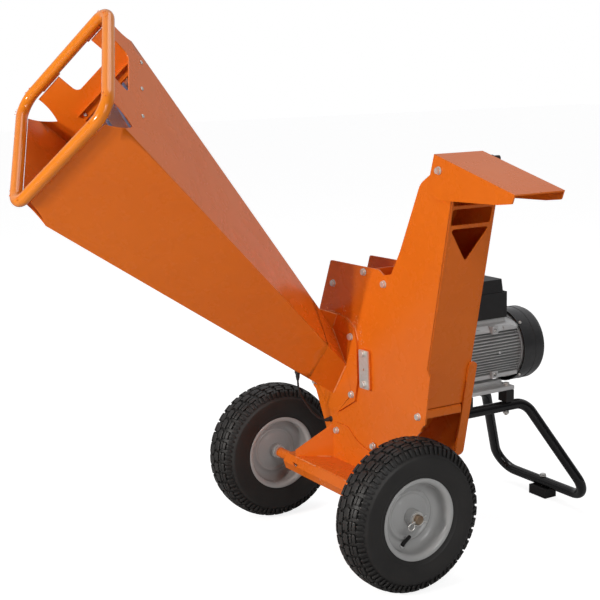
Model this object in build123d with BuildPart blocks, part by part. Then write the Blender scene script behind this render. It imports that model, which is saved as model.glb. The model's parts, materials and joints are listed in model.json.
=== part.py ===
from build123d import *
import math
import os

# A walk-behind electric disc wood chipper. Millimetres, +Z up, -Y is the feed side, +X the discharge side.
# The origin is the middle of the stand foot's underside, so z = 0 is the ground.

# Undercarriage
AXLE_Y = -631.0          # axle centre line, measured from the foot
TYRE_R = 165.0           # 13 x 4.00-6 pneumatic tyre
TYRE_HALF_W = 47.0
HALF_TRACK = 279.0       # wheel centre to the machine's middle plane
AXLE_R = 10.0
RUN_FIT = 0.05           # radial running clearance of shafts and pins

# Disc housing
FRONT_Y = AXLE_Y + 58.0  # outer face of the front plate
REAR_Y = AXLE_Y + 176.0  # outer face of the rear plate
PLATE_T = 4.0
SHEET_T = 3.0
SHAFT_Z = 414.0
DRUM_R = 172.0           # inside of the drum band
DUCT_LEAN = 0.222        # how far the duct's discharge wall moves along +X for each mm of height
DUCT_FOOT_X = 270.0      # the discharge wall's x at DUCT_FOOT_Z
DUCT_FOOT_Z = 466.0

# Feed chute: a square funnel standing on its corner
CHUTE_X = -81.5          # its middle plane
FLANGE_T = 6.0
THROAT_Y = FRONT_Y - FLANGE_T
THROAT_TOP_Z = 498.0
THROAT_BOTTOM_Z = 341.0
THROAT_HALF_W = 56.0
MOUTH_TOP = (AXLE_Y - 466.0, 1214.0)      # y and z of the mouth's top corner
MOUTH_BOTTOM = (AXLE_Y - 683.0, 831.0)
MOUTH_HALF_W = 231.0
CHUTE_T = 2.5
HANDLE_R = 12.5          # the mouth's tube frame

# Hood over the discharge
HOOD_PIVOT = (315.0, 883.0)               # x and z

# Motor, foot-mounted, frame size 90
FOOT_Z = SHAFT_Z - 90.0
BODY_R = 74.0
COWL_R = 89.0
BODY_FRONT_Y = AXLE_Y + 216.0
BODY_REAR_Y = AXLE_Y + 484.0
COWL_REAR_Y = AXLE_Y + 556.0
SHAFT_R = 14.0

# Stand
RAIL_X = 73.7
RAIL_Z = 282.0
RAIL_R = 12.5
RAIL_BEND_Y = AXLE_Y + 502.0

os.makedirs("parts", exist_ok=True)


def save(builder, name):
    """Label a finished sub-part and write its STEP file."""
    builder.part.label = name
    export_step(builder.part, f"parts/{name}.step")


def xz_plane(y):
    """A sketch plane facing the feed side: local x is X, local y is Z."""
    return Plane.XZ.offset(-y)


def wall_x(z):
    """The discharge wall's outer x at a height."""
    return DUCT_FOOT_X + DUCT_LEAN * (z - DUCT_FOOT_Z)


def rod_y(x, y0, y1, z, radius, mode=Mode.ADD):
    """A round bar along Y, from y0 to y1."""
    with Locations((x, (y0 + y1) / 2, z)):
        Cylinder(radius, abs(y1 - y0), rotation=(90, 0, 0), mode=mode)


def rod_x(x0, x1, y, z, radius, mode=Mode.ADD):
    """A round bar along X, from x0 to x1."""
    with Locations(((x0 + x1) / 2, y, z)):
        Cylinder(radius, abs(x1 - x0), rotation=(0, 90, 0), mode=mode)


def hex_bolt_y(x, z, head_y, shank, radius=4.0, facing=-1):
    """A hex bolt along Y on its washer, its head on the side given by facing."""
    rod_y(x, head_y, head_y + 1.6 * facing, z, radius * 2.1)
    rod_y(x, head_y, head_y - shank * facing, z, radius)
    with BuildSketch(xz_plane(head_y + 1.6 * facing), mode=Mode.PRIVATE) as hexagon:
        with Locations((x, z)):
            RegularPolygon(radius * 1.75, 6)
    extrude(hexagon.sketch, amount=-5.5 * facing)


def bolt_z(x, y, head_z, shank, radius=4.0):
    """A hex bolt standing along Z, head up, on its washer."""
    with Locations((x, y, head_z + 0.8)):
        Cylinder(radius * 2.1, 1.6)
    with Locations((x, y, head_z - shank / 2)):
        Cylinder(radius, shank)
    with BuildSketch(Plane.XY.offset(head_z + 1.6), mode=Mode.PRIVATE) as hexagon:
        with Locations((x, y)):
            RegularPolygon(radius * 1.75, 6)
    extrude(hexagon.sketch, amount=5.5)


# ---------------------------------------------------------------- disc housing

PLATE_SHOULDER = (248, 852)
PLATE_TOP = [(96, 655), (116, 645), (144, 651), (158, 673), (177, 705), PLATE_SHOULDER, (287, 876),
             (293, 888), (337, 888), (wall_x(884) - 1, 884), (wall_x(466) - 1, 466)]
SHOULDER_R = 42.0
PLATE_CORNER_R = 6.0
FRONT_CORNER = (-94, 653)
REAR_CORNER = (-101, 652)
FRONT_STEP = [(wall_x(450) + 13, 450), (262, 345), (249, 334), (247, 326), (226, 306)]
REAR_EDGE = [(wall_x(340) - 1, 340), (226, 306)]
PLATE_FOOT = [(205, 200), (150, 186), (-94, 186), (-126, 252), (-174, 345), (-180, 445), (-146, 530)]
FRONT_BOLTS = [(-82, 601), (42, 643), (118, 626), (240, 358)]
FLANGE_BOLTS = [(CHUTE_X + 76, 489), (CHUTE_X - 76, 489), (CHUTE_X + 78, 355), (CHUTE_X - 78, 355)]
BRACKET_BOLTS = [(-73, 253), (76, 252)]
COVER_BOLTS = [(47.8, 460.5), (50.0, 390)]
M8_R = 4.0
COVER_MID = (48.6, 423.5)
COVER_W = 36.0
COVER_H = 88.0
COVER_TURN = 2.0         # degrees out of plumb
COVER_PAD_T = 6.0
COVER_T = 3.0


def round_plate(outline, corner):
    """Round a housing plate's free top corner and its shoulder under the hood."""
    for place, radius in ((corner, PLATE_CORNER_R), (PLATE_SHOULDER, SHOULDER_R)):
        fillet(outline.vertices().sort_by_distance(Vector(*place))[0], radius)


with BuildPart() as front_plate:
    with BuildSketch(xz_plane(FRONT_Y)) as outline:
        Polygon(FRONT_CORNER, *PLATE_TOP, *FRONT_STEP, *PLATE_FOOT, align=None)
        round_plate(outline, FRONT_CORNER)
        with BuildSketch(mode=Mode.SUBTRACT):
            Polygon((CHUTE_X, THROAT_TOP_Z - 4), (CHUTE_X + THROAT_HALF_W - 3, 419.5),
                    (CHUTE_X, THROAT_BOTTOM_Z + 4), (CHUTE_X - THROAT_HALF_W + 3, 419.5), align=None)
        with Locations(*FRONT_BOLTS, *FLANGE_BOLTS, *BRACKET_BOLTS, *COVER_BOLTS):
            Circle(M8_R, mode=Mode.SUBTRACT)
        with Locations(HOOD_PIVOT):
            Circle(M8_R, mode=Mode.SUBTRACT)
    extrude(amount=-PLATE_T)
save(front_plate, "front_plate")

with BuildPart() as rear_plate:
    with BuildSketch(xz_plane(REAR_Y - PLATE_T)) as outline:
        Polygon(REAR_CORNER, *PLATE_TOP, *REAR_EDGE, *PLATE_FOOT, align=None)
        round_plate(outline, REAR_CORNER)
        with Locations((0, SHAFT_Z)):
            Circle(24, mode=Mode.SUBTRACT)
        with Locations(HOOD_PIVOT):
            Circle(M8_R, mode=Mode.SUBTRACT)
    extrude(amount=-PLATE_T)
save(rear_plate, "rear_plate")

INNER_Y0 = FRONT_Y + PLATE_T
INNER_Y1 = REAR_Y - PLATE_T
DEPTH = INNER_Y1 - INNER_Y0

# The drum band runs from the duct floor under the disc and up the feed side to the duct's back wall.
BAND_START = -14.0       # degrees round the shaft, from +X
BAND_END = -304.0

with BuildPart() as drum_band:
    with BuildSketch(xz_plane(INNER_Y0)):
        with BuildLine():
            outer = CenterArc((0, SHAFT_Z), DRUM_R + SHEET_T, BAND_START, BAND_END - BAND_START)
            inner = CenterArc((0, SHAFT_Z), DRUM_R, BAND_START, BAND_END - BAND_START)
            Line(outer @ 0, inner @ 0)
            Line(outer @ 1, inner @ 1)
        make_face()
    extrude(amount=-DEPTH)
save(drum_band, "drum_band")

# Openings in the discharge wall: heights of the bars' edges, then the pointed hole's tip.
TOP_GAP = (813.0, 866.0)
MIDDLE_GAP = (773.0, 806.0)
POINT_TOP = 765.0
POINT_TIP = 695.0
LEAN_DEG = math.degrees(math.atan(DUCT_LEAN))
SLANT = math.sqrt(1 + DUCT_LEAN ** 2)
wall_plane = Plane(origin=(DUCT_FOOT_X, INNER_Y0, DUCT_FOOT_Z), x_dir=(0, 1, 0),
                   z_dir=(1 / SLANT, 0, -DUCT_LEAN / SLANT))
WALL_BOTTOM = 374.0


def on_wall(z):
    """A height as a distance along the sloping discharge wall."""
    return (z - DUCT_FOOT_Z) * SLANT


with BuildPart() as duct_side_panel:
    with BuildSketch(wall_plane):
        Polygon((0, on_wall(WALL_BOTTOM)), (DEPTH, on_wall(WALL_BOTTOM)),
                (DEPTH, on_wall(878)), (0, on_wall(878)), align=None)
        for low, high in (TOP_GAP, MIDDLE_GAP):
            with Locations((DEPTH / 2, on_wall((low + high) / 2))):
                RectangleRounded(DEPTH - 8, (high - low) * SLANT, 5, mode=Mode.SUBTRACT)
        with BuildSketch(wall_plane, mode=Mode.SUBTRACT) as pointed_hole:
            Polygon((5, on_wall(POINT_TOP)), (DEPTH - 5, on_wall(POINT_TOP)),
                    (DEPTH / 2, on_wall(POINT_TIP)), align=None)
            fillet(pointed_hole.vertices(), 5)
    extrude(amount=-SHEET_T)
save(duct_side_panel, "duct_side_panel")

BACK_FOOT = (99.0, 560.5)
BACK_TOP = (250.0, 838.0)
BACK_END = (292.0, 872.0)

with BuildPart() as duct_back_wall:
    with BuildSketch(xz_plane(INNER_Y0)):
        with BuildLine():
            outside = Polyline(BACK_FOOT, BACK_TOP, BACK_END)
            inside = Polyline((BACK_FOOT[0] + 3.4, BACK_FOOT[1] - 1), (BACK_TOP[0] + 3, BACK_TOP[1] - 3.5),
                              (BACK_END[0] + 1.5, BACK_END[1] - 3.5))
            Line(outside @ 0, inside @ 0)
            Line(outside @ 1, inside @ 1)
        make_face()
    extrude(amount=-DEPTH)
save(duct_back_wall, "duct_back_wall")

with BuildPart() as duct_floor:
    with BuildSketch(xz_plane(INNER_Y0)):
        with BuildLine():
            Polyline((172, 369), (wall_x(372) - 6, 369), (wall_x(372) - 6, 372), (172, 372), close=True)
        make_face()
    extrude(amount=-DEPTH)
    with BuildSketch(xz_plane(INNER_Y0)):
        with Locations((wall_x(362), 362)):
            RectangleRounded(9, 20, 4)
    extrude(amount=-(DEPTH - 9))
save(duct_floor, "duct_floor")

with BuildPart() as housing_spacer:
    with BuildSketch(xz_plane(INNER_Y0)):
        with BuildLine():
            Polyline((-100, 618), (-90, 592), (75, 592), (75, 654), (72, 654), (72, 595), (-88, 595), (-97, 619),
                     close=True)
        make_face()
    extrude(amount=-DEPTH)
save(housing_spacer, "housing_spacer")

# A round-topped upright on the rear corner of the discharge wall.
UPRIGHT_W = 22.0
UPRIGHT_TOP = 468.0
UPRIGHT_BOTTOM = 250.0

with BuildPart() as rear_upright:
    with BuildSketch(wall_plane.offset(1.0)):
        mid = REAR_Y - INNER_Y0 + 1.0
        with Locations((mid, (on_wall(UPRIGHT_TOP) + on_wall(UPRIGHT_BOTTOM)) / 2)):
            SlotOverall(on_wall(UPRIGHT_TOP) - on_wall(UPRIGHT_BOTTOM), UPRIGHT_W, rotation=90)
    extrude(amount=5.0)
save(rear_upright, "rear_upright")

with BuildPart() as housing_bolts:
    for x, z in FRONT_BOLTS:
        hex_bolt_y(x, z, FRONT_Y, PLATE_T)
    for x, z in BRACKET_BOLTS:
        hex_bolt_y(x, z, FRONT_Y - SHEET_T, PLATE_T + SHEET_T)
    for x, z in FLANGE_BOLTS:
        hex_bolt_y(x, z, THROAT_Y, FLANGE_T + PLATE_T)
    for x, z in COVER_BOLTS:
        hex_bolt_y(x, z, FRONT_Y - COVER_PAD_T - COVER_T, COVER_PAD_T + COVER_T + PLATE_T)
save(housing_bolts, "housing_bolts")

# ---------------------------------------------------------------- small cover right of the chute flange

with BuildPart() as cover_pad:
    with BuildSketch(xz_plane(FRONT_Y)):
        with Locations((COVER_MID[0] + 0.5, COVER_MID[1] - 1)):
            RectangleRounded(COVER_W + 1, COVER_H + 4, 7, rotation=COVER_TURN)
        with Locations(*COVER_BOLTS):
            Circle(M8_R, mode=Mode.SUBTRACT)
    extrude(amount=COVER_PAD_T)
save(cover_pad, "cover_pad")

with BuildPart() as cover_plate:
    with BuildSketch(xz_plane(FRONT_Y - COVER_PAD_T)):
        with Locations(COVER_MID):
            RectangleRounded(COVER_W, COVER_H, 3, rotation=COVER_TURN)
            Circle(2.5, mode=Mode.SUBTRACT)
        with Locations(*COVER_BOLTS):
            Circle(M8_R, mode=Mode.SUBTRACT)
    extrude(amount=COVER_T)
save(cover_plate, "cover_plate")

# ---------------------------------------------------------------- hood

HOOD_GAP = 0.4
HOOD_Y0 = FRONT_Y - HOOD_GAP
HOOD_Y1 = REAR_Y + HOOD_GAP
HOOD_BACK = (299.0, 915.0)
HOOD_TIP = (541.0, 852.0)
CHEEK_CORNER = (534, 834)
CHEEK = [HOOD_BACK, HOOD_TIP, CHEEK_CORNER, (492, 829), (300, 823), (286, 874)]

with BuildPart() as hood:
    for y in (HOOD_Y0, HOOD_Y1 + SHEET_T):
        with BuildSketch(xz_plane(y)) as cheek:
            Polygon(*CHEEK, align=None)
            fillet(cheek.vertices().sort_by_distance(Vector(*CHEEK_CORNER))[0], 5)
            with Locations(HOOD_PIVOT):
                Circle(M8_R + RUN_FIT, mode=Mode.SUBTRACT)
        extrude(amount=SHEET_T)
    with BuildSketch(xz_plane(HOOD_Y0 - SHEET_T)):
        Polygon(HOOD_BACK, HOOD_TIP, (HOOD_TIP[0] - 0.8, HOOD_TIP[1] - 2.9),
                (HOOD_BACK[0] - 0.8, HOOD_BACK[1] - 2.9), align=None)
    extrude(amount=-(HOOD_Y1 - HOOD_Y0 + 2 * SHEET_T))
save(hood, "hood")

STUD_END_Y = HOOD_Y1 + SHEET_T + 16

with BuildPart() as hood_pivots:
    px, pz = HOOD_PIVOT
    rod_y(px, HOOD_Y0 - SHEET_T - 0.4, FRONT_Y + PLATE_T + 8, pz, M8_R)
    hex_bolt_y(px, pz, HOOD_Y0 - SHEET_T - 0.4, 4)
    rod_y(px, REAR_Y - PLATE_T, STUD_END_Y, pz, M8_R)
    rod_y(px, REAR_Y - PLATE_T - 5, REAR_Y - PLATE_T, pz, 8)
save(hood_pivots, "hood_pivots")

KNOB_LOBES = 6

with BuildPart() as hood_lock_knob:
    with BuildSketch(xz_plane(HOOD_Y1 + SHEET_T + 7)):
        with Locations(HOOD_PIVOT):
            Circle(21)
            with PolarLocations(20, KNOB_LOBES):
                Circle(6)
    extrude(amount=-14)
    rod_y(px, HOOD_Y1 + SHEET_T + 0.5, HOOD_Y1 + SHEET_T + 8, pz, 11)
    rod_y(px, HOOD_Y1 + SHEET_T, STUD_END_Y, pz, M8_R + RUN_FIT, mode=Mode.SUBTRACT)
save(hood_lock_knob, "hood_lock_knob")

# ---------------------------------------------------------------- feed chute

FLANGE_HALF = [(87.5, 341), (99.5, 389), (98, 480), (85, 512), (53, 529), (16, 534)]
flange_outline = [(CHUTE_X + a, z) for a, z in FLANGE_HALF]
flange_outline += [(CHUTE_X - a, z) for a, z in reversed(FLANGE_HALF)]
flange_outline += [(CHUTE_X - 18, 301), (CHUTE_X + 18, 301)]
THROAT_MID_Z = (THROAT_TOP_Z + THROAT_BOTTOM_Z) / 2


def between(a, b, t):
    """The point a fraction t of the way from a to b."""
    return tuple(p + (q - p) * t for p, q in zip(a, b))


THROAT_TOP = (THROAT_Y, THROAT_TOP_Z)
THROAT_BOTTOM = (THROAT_Y, THROAT_BOTTOM_Z)


def section_plane(t):
    """The plane of the funnel's section, t of the way from the throat to the mouth: X across, Y up its diamond."""
    top = Vector(0, *between(THROAT_TOP, MOUTH_TOP, t))
    bottom = Vector(0, *between(THROAT_BOTTOM, MOUTH_BOTTOM, t))
    middle = (top + bottom) / 2
    up = (top - bottom).normalized()
    return Plane(origin=(CHUTE_X, middle.Y, middle.Z), x_dir=(1, 0, 0), z_dir=Vector(1, 0, 0).cross(up))


def diamond(t, wall=0.0):
    """The section's four corners in its plane, moved in by the wall."""
    top = Vector(0, *between(THROAT_TOP, MOUTH_TOP, t))
    bottom = Vector(0, *between(THROAT_BOTTOM, MOUTH_BOTTOM, t))
    half_h = (top - bottom).length / 2
    half_w = THROAT_HALF_W + (MOUTH_HALF_W - THROAT_HALF_W) * t
    side = math.hypot(half_w, half_h)
    across = half_w - wall * side / half_h
    upright = half_h - wall * side / half_w
    return [(0, upright), (across, 0), (0, -upright), (-across, 0)]


NECK_END = 0.09          # the weld between neck and funnel, as a fraction of the chute
SHEET_END = 0.982        # the sheets stop at the tube frame

with BuildPart() as chute_flange:
    with BuildSketch(xz_plane(FRONT_Y)):
        Polygon(*flange_outline, align=None)
        with BuildSketch(mode=Mode.SUBTRACT):
            with Locations((CHUTE_X, THROAT_MID_Z)):
                Polygon(*diamond(0, CHUTE_T), align=None)
        with Locations(*FLANGE_BOLTS):
            Circle(M8_R, mode=Mode.SUBTRACT)
    extrude(amount=FLANGE_T)
save(chute_flange, "chute_flange")

with BuildPart() as chute_neck:
    for t in (0, NECK_END):
        with BuildSketch(section_plane(t)):
            Polygon(*diamond(t), align=None)
    loft()
    for t in (-0.02, NECK_END + 0.02):
        with BuildSketch(section_plane(t)):
            Polygon(*diamond(t, CHUTE_T), align=None)
    loft(mode=Mode.SUBTRACT)
    for side in (-1, 1):
        ridge_top = Vector(CHUTE_X, THROAT_Y - 34, THROAT_TOP_Z + 47)
        root = Vector(CHUTE_X, THROAT_Y, THROAT_TOP_Z)
        on_flange = Vector(CHUTE_X + side * 21, THROAT_Y, THROAT_TOP_Z + 34)
        gusset = Plane(origin=root, x_dir=ridge_top - root, z_dir=(ridge_top - root).cross(on_flange - root))
        with BuildSketch(gusset):
            Polygon(*[tuple(gusset.to_local_coords(p))[:2] for p in (root, ridge_top, on_flange)], align=None)
        extrude(amount=1, both=True)
    split(bisect_by=xz_plane(THROAT_Y), keep=Keep.TOP)
save(chute_neck, "chute_neck")

MOUTH = {
    "top": Vector(CHUTE_X, *MOUTH_TOP),
    "right": Vector(CHUTE_X + MOUTH_HALF_W, *between(MOUTH_TOP, MOUTH_BOTTOM, 0.5)),
    "bottom": Vector(CHUTE_X, *MOUTH_BOTTOM),
    "left": Vector(CHUTE_X - MOUTH_HALF_W, *between(MOUTH_TOP, MOUTH_BOTTOM, 0.5)),
}
THROAT_CENTRE = Vector(CHUTE_X, THROAT_Y, THROAT_MID_Z)


def face_plane(start, end, along=0.0, depth=0.0, inside=0.0):
    """A plane on one side of the funnel: X runs along the mouth from start to end, Y runs into the chute."""
    edge = (MOUTH[end] - MOUTH[start]).normalized()
    middle = (MOUTH[start] + MOUTH[end]) / 2
    inward = THROAT_CENTRE - middle
    throat_z = {"top": THROAT_TOP_Z, "bottom": THROAT_BOTTOM_Z}
    sign = 1 if "right" in (start, end) else -1
    low = Vector(CHUTE_X + sign * THROAT_HALF_W / 2, THROAT_Y, (throat_z[start] + THROAT_MID_Z) / 2)
    down = low - middle
    down = (down - edge * down.dot(edge)).normalized()
    normal = edge.cross(down)
    towards = 1 if normal.dot(inward) > 0 else -1
    origin = MOUTH[start] + edge * along + down * depth + normal * (inside * towards)
    return Plane(origin=origin, x_dir=edge, z_dir=normal)


GRIP_START = 82.0        # the hand hole beside the tube frame, measured from the top corner
GRIP_END = 202.0
GRIP_DEPTH = 66.0
GRIP_CORNER = 14.0
NOTCH_W = 25.0           # half the width of the cut at each mouth corner
NOTCH_DEPTH = 72.0
MOUTH_CENTRE = (MOUTH["top"] + MOUTH["bottom"]) / 2
MOUTH_NORMAL = (MOUTH["top"] - MOUTH_CENTRE).cross(Vector(1, 0, 0)).normalized()
UPPER_FACES = (("top", "right"), ("top", "left"))

with BuildPart() as chute_funnel:
    for t in (NECK_END + 0.0004, SHEET_END):
        with BuildSketch(section_plane(t)):
            Polygon(*diamond(t), align=None)
    loft()
    for t in (NECK_END - 0.02, SHEET_END + 0.02):
        with BuildSketch(section_plane(t)):
            Polygon(*diamond(t, CHUTE_T), align=None)
    loft(mode=Mode.SUBTRACT)
    for start, end in UPPER_FACES:
        with BuildSketch(face_plane(start, end)):
            with Locations(((GRIP_START + GRIP_END) / 2, GRIP_DEPTH / 2 - 15)):
                RectangleRounded(GRIP_END - GRIP_START, GRIP_DEPTH + 30, GRIP_CORNER)
        extrude(amount=14, both=True, mode=Mode.SUBTRACT)
    for corner in MOUTH.values():
        outward = (corner - MOUTH_CENTRE).normalized()
        with BuildSketch(Plane(origin=corner, x_dir=outward.cross(MOUTH_NORMAL), z_dir=outward)):
            with BuildLine():
                Polyline((-NOTCH_W, 0), (-NOTCH_W, 16), (NOTCH_W, 16), (NOTCH_W, 0))
                ThreePointArc((NOTCH_W, 0), (0.66 * NOTCH_W, -0.53 * NOTCH_DEPTH), (0, -NOTCH_DEPTH))
                ThreePointArc((0, -NOTCH_DEPTH), (-0.66 * NOTCH_W, -0.53 * NOTCH_DEPTH), (-NOTCH_W, 0))
            make_face()
        extrude(amount=50, both=True, mode=Mode.SUBTRACT)
    across = Plane(origin=MOUTH_CENTRE, x_dir=(1, 0, 0), z_dir=(MOUTH_CENTRE - THROAT_CENTRE).cross(Vector(1, 0, 0)))
    for seam in (Plane.YZ.offset(CHUTE_X), across):
        split(bisect_by=seam, keep=Keep.BOTH)
save(chute_funnel, "chute_funnel")

CORNER_BEND = 42.0

with BuildPart() as chute_handle_frame:
    with BuildLine() as frame_path:
        FilletPolyline(MOUTH["top"], MOUTH["right"], MOUTH["bottom"], MOUTH["left"], close=True, radius=CORNER_BEND)
    start = frame_path.line @ 0
    heading = frame_path.line % 0
    with BuildSketch(Plane(origin=start, z_dir=heading)):
        Circle(HANDLE_R)
        Circle(HANDLE_R - 2, mode=Mode.SUBTRACT)
    sweep()
save(chute_handle_frame, "chute_handle_frame")

# ---------------------------------------------------------------- curtain inside the mouth

BATTEN_DEPTH = 108.0
BATTEN_W = 20.0
BATTEN_T = 3.0
BATTEN_LIP = 11.0       # the folded edge towards the mouth
BATTEN_START = 45.0
BATTEN_END = 245.0
BATTEN_SCREWS = (60, 145, 230)

with BuildPart() as curtain_battens:
    for start, end in UPPER_FACES:
        middle = (BATTEN_START + BATTEN_END) / 2
        with Locations(face_plane(start, end, middle, BATTEN_DEPTH, CHUTE_T + 0.4 + BATTEN_T / 2)):
            Box(BATTEN_END - BATTEN_START, BATTEN_W, BATTEN_T)
        lip = CHUTE_T + 0.4 + BATTEN_LIP / 2
        with Locations(face_plane(start, end, middle, BATTEN_DEPTH - BATTEN_W / 2 + BATTEN_T / 2, lip)):
            Box(BATTEN_END - BATTEN_START, BATTEN_T, BATTEN_LIP)
save(curtain_battens, "curtain_battens")

with BuildPart() as batten_screws:
    for start, end in UPPER_FACES:
        for along in BATTEN_SCREWS:
            with Locations(face_plane(start, end, along, BATTEN_DEPTH, CHUTE_T + 0.4 + BATTEN_T + 1.6)):
                Cylinder(4.5, 3.0)
            with Locations(face_plane(start, end, along, BATTEN_DEPTH, -1.5)):
                Cylinder(4.5, 2.6)
save(batten_screws, "batten_screws")

FLAP_T = 3.0
FLAP_OUTLINE = [(64, 0), (230, 0), (230, 138), (156, 138), (64, 14)]


def flap_plane(end):
    """The plane of a hanging flap: X along its hinge line, Y down along the flap."""
    hinge = face_plane("top", end, 0, BATTEN_DEPTH + BATTEN_W / 2 + 2, CHUTE_T + 7)
    edge = hinge.x_dir
    down = Vector(0, 0, -1) + edge * edge.Z
    return Plane(origin=hinge.origin, x_dir=edge, z_dir=edge.cross(down.normalized()))


for end in ("right", "left"):
    with BuildPart() as curtain_flap:
        with BuildSketch(flap_plane(end)):
            Polygon(*FLAP_OUTLINE, align=None)
        extrude(amount=FLAP_T / 2, both=True)
    save(curtain_flap, f"curtain_flap_{end}")

# ---------------------------------------------------------------- rotor, turning with the motor shaft

DISC_Y = INNER_Y0 + 20.0
DISC_T = 12.0
DISC_R = 160.0
KNIFE_ANGLES = (35, 215)
PADDLE_ANGLES = (0, 90, 180, 270)
HUB_R = 32.0
SHAFT_END_Y = AXLE_Y + 540.0

with BuildPart() as rotor_disc:
    with BuildSketch(xz_plane(DISC_Y)):
        with Locations((0, SHAFT_Z)):
            Circle(DISC_R)
            Circle(SHAFT_R, mode=Mode.SUBTRACT)
            with PolarLocations(92, 2, start_angle=KNIFE_ANGLES[0] + 14):
                SlotOverall(100, 16, mode=Mode.SUBTRACT)
    extrude(amount=-DISC_T)
    with BuildSketch(xz_plane(DISC_Y + DISC_T)):
        with Locations((0, SHAFT_Z)):
            Circle(HUB_R)
            Circle(SHAFT_R, mode=Mode.SUBTRACT)
    extrude(amount=-36)
save(rotor_disc, "rotor_disc")

with BuildPart() as rotor_knives:
    with BuildSketch(xz_plane(DISC_Y)):
        with Locations((0, SHAFT_Z)):
            with PolarLocations(92, 2, start_angle=KNIFE_ANGLES[0]):
                Rectangle(104, 32)
    extrude(amount=8)
    for side in (0, 1):
        with BuildSketch(xz_plane(DISC_Y - 8)):
            with Locations((0, SHAFT_Z)):
                with PolarLocations(66 + 52 * side, 2, start_angle=KNIFE_ANGLES[0]):
                    Circle(6)
        extrude(amount=2)
save(rotor_knives, "rotor_knives")

with BuildPart() as rotor_paddles:
    with BuildSketch(xz_plane(DISC_Y + DISC_T)):
        with Locations((0, SHAFT_Z)):
            with PolarLocations(97, len(PADDLE_ANGLES)):
                Rectangle(124, 6)
    extrude(amount=-62)
save(rotor_paddles, "rotor_paddles")

with BuildPart() as rotor_centre_bolt:
    rod_y(0, DISC_Y - 4, DISC_Y, SHAFT_Z, 22)
    with BuildSketch(xz_plane(DISC_Y - 4)):
        with Locations((0, SHAFT_Z)):
            RegularPolygon(9, 6)
    extrude(amount=6)
save(rotor_centre_bolt, "rotor_centre_bolt")

CORE_R = 49.0
STATOR_R = 62.0
CORE_Y0 = AXLE_Y + 262.0
CORE_Y1 = AXLE_Y + 442.0

with BuildPart() as motor_rotor:
    rod_y(0, DISC_Y, SHAFT_END_Y, SHAFT_Z, SHAFT_R)
    rod_y(0, CORE_Y0, CORE_Y1, SHAFT_Z, CORE_R)
save(motor_rotor, "motor_rotor")

FAN_R = 70.0
FAN_Y = AXLE_Y + 508.0

with BuildPart() as motor_fan:
    with BuildSketch(xz_plane(FAN_Y)):
        with Locations((0, SHAFT_Z)):
            Circle(46)
            Circle(SHAFT_R, mode=Mode.SUBTRACT)
    extrude(amount=-3)
    with BuildSketch(xz_plane(FAN_Y)):
        with Locations((0, SHAFT_Z)):
            with PolarLocations((FAN_R + 20) / 2, 8):
                Rectangle(FAN_R - 20, 3)
            Circle(SHAFT_R, mode=Mode.SUBTRACT)
    extrude(amount=-24)
save(motor_fan, "motor_fan")

with BuildPart() as bedknife:
    with Locations((CHUTE_X, INNER_Y0 + 4, THROAT_BOTTOM_Z - 12)):
        Box(100, 8, 30)
save(bedknife, "bedknife")

# ---------------------------------------------------------------- motor

with BuildPart() as motor_stator:
    rod_y(0, CORE_Y0 - 4, CORE_Y1 + 4, SHAFT_Z, STATOR_R - 0.4)
    rod_y(0, CORE_Y0 - 4, CORE_Y1 + 4, SHAFT_Z, CORE_R + 1, mode=Mode.SUBTRACT)
save(motor_stator, "motor_stator")

FIN_R = 80.0
FIN_T = 3.0
FIN_STEP = 9.4
FIN_ROWS = 13

with BuildPart() as motor_housing:
    rod_y(0, BODY_FRONT_Y, BODY_REAR_Y, SHAFT_Z, STATOR_R + 4)
    body_y = (BODY_FRONT_Y + BODY_REAR_Y) / 2
    for row in range(FIN_ROWS):
        rise = (row - (FIN_ROWS - 1) / 2) * FIN_STEP
        half = math.sqrt(FIN_R ** 2 - rise ** 2)
        with Locations((0, body_y, SHAFT_Z + rise)):
            Box(2 * half, BODY_REAR_Y - BODY_FRONT_Y, FIN_T)
    for side in (-1, 1):
        for rise in (-48, 56):
            for y in (AXLE_Y + 236, AXLE_Y + 408):
                with Locations((side * 60, y, SHAFT_Z + rise)):
                    Box(26, 24, 16)
    with Locations((0, AXLE_Y + 400, SHAFT_Z + 70)):
        Box(84, 110, 18)
    rod_y(0, BODY_FRONT_Y, BODY_REAR_Y, SHAFT_Z, STATOR_R, mode=Mode.SUBTRACT)
save(motor_housing, "motor_housing")

BEARING_R = 30.0

with BuildPart() as motor_end_shields:
    rod_y(0, REAR_Y + 0.3, REAR_Y + 10, SHAFT_Z, 84)
    rod_y(0, REAR_Y + 10, BODY_FRONT_Y - 0.3, SHAFT_Z, 66)
    rod_y(0, REAR_Y, REAR_Y + 22, SHAFT_Z, 24, mode=Mode.SUBTRACT)
    rod_y(0, REAR_Y + 22, BODY_FRONT_Y, SHAFT_Z, BEARING_R, mode=Mode.SUBTRACT)
    rod_y(0, BODY_REAR_Y + 0.3, BODY_REAR_Y + 14, SHAFT_Z, 80)
    for turn in (45, 135, 225, 315):
        lug_x = 80 * math.cos(math.radians(turn))
        lug_z = 80 * math.sin(math.radians(turn))
        rod_y(lug_x, BODY_REAR_Y + 0.3, BODY_REAR_Y + 14, SHAFT_Z + lug_z, 6.5)
    rod_y(0, BODY_REAR_Y, BODY_REAR_Y + 14, SHAFT_Z, BEARING_R, mode=Mode.SUBTRACT)
save(motor_end_shields, "motor_end_shields")

with BuildPart() as motor_bearings:
    for y0, y1 in ((BODY_FRONT_Y - 16, BODY_FRONT_Y - 0.3), (BODY_REAR_Y + 0.3, BODY_REAR_Y + 13.7)):
        rod_y(0, y0, y1, SHAFT_Z, BEARING_R)
        rod_y(0, y0, y1, SHAFT_Z, SHAFT_R + RUN_FIT, mode=Mode.SUBTRACT)
save(motor_bearings, "motor_bearings")

COWL_T = 2.0
COWL_FRONT_Y = BODY_REAR_Y + 2.0

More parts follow.
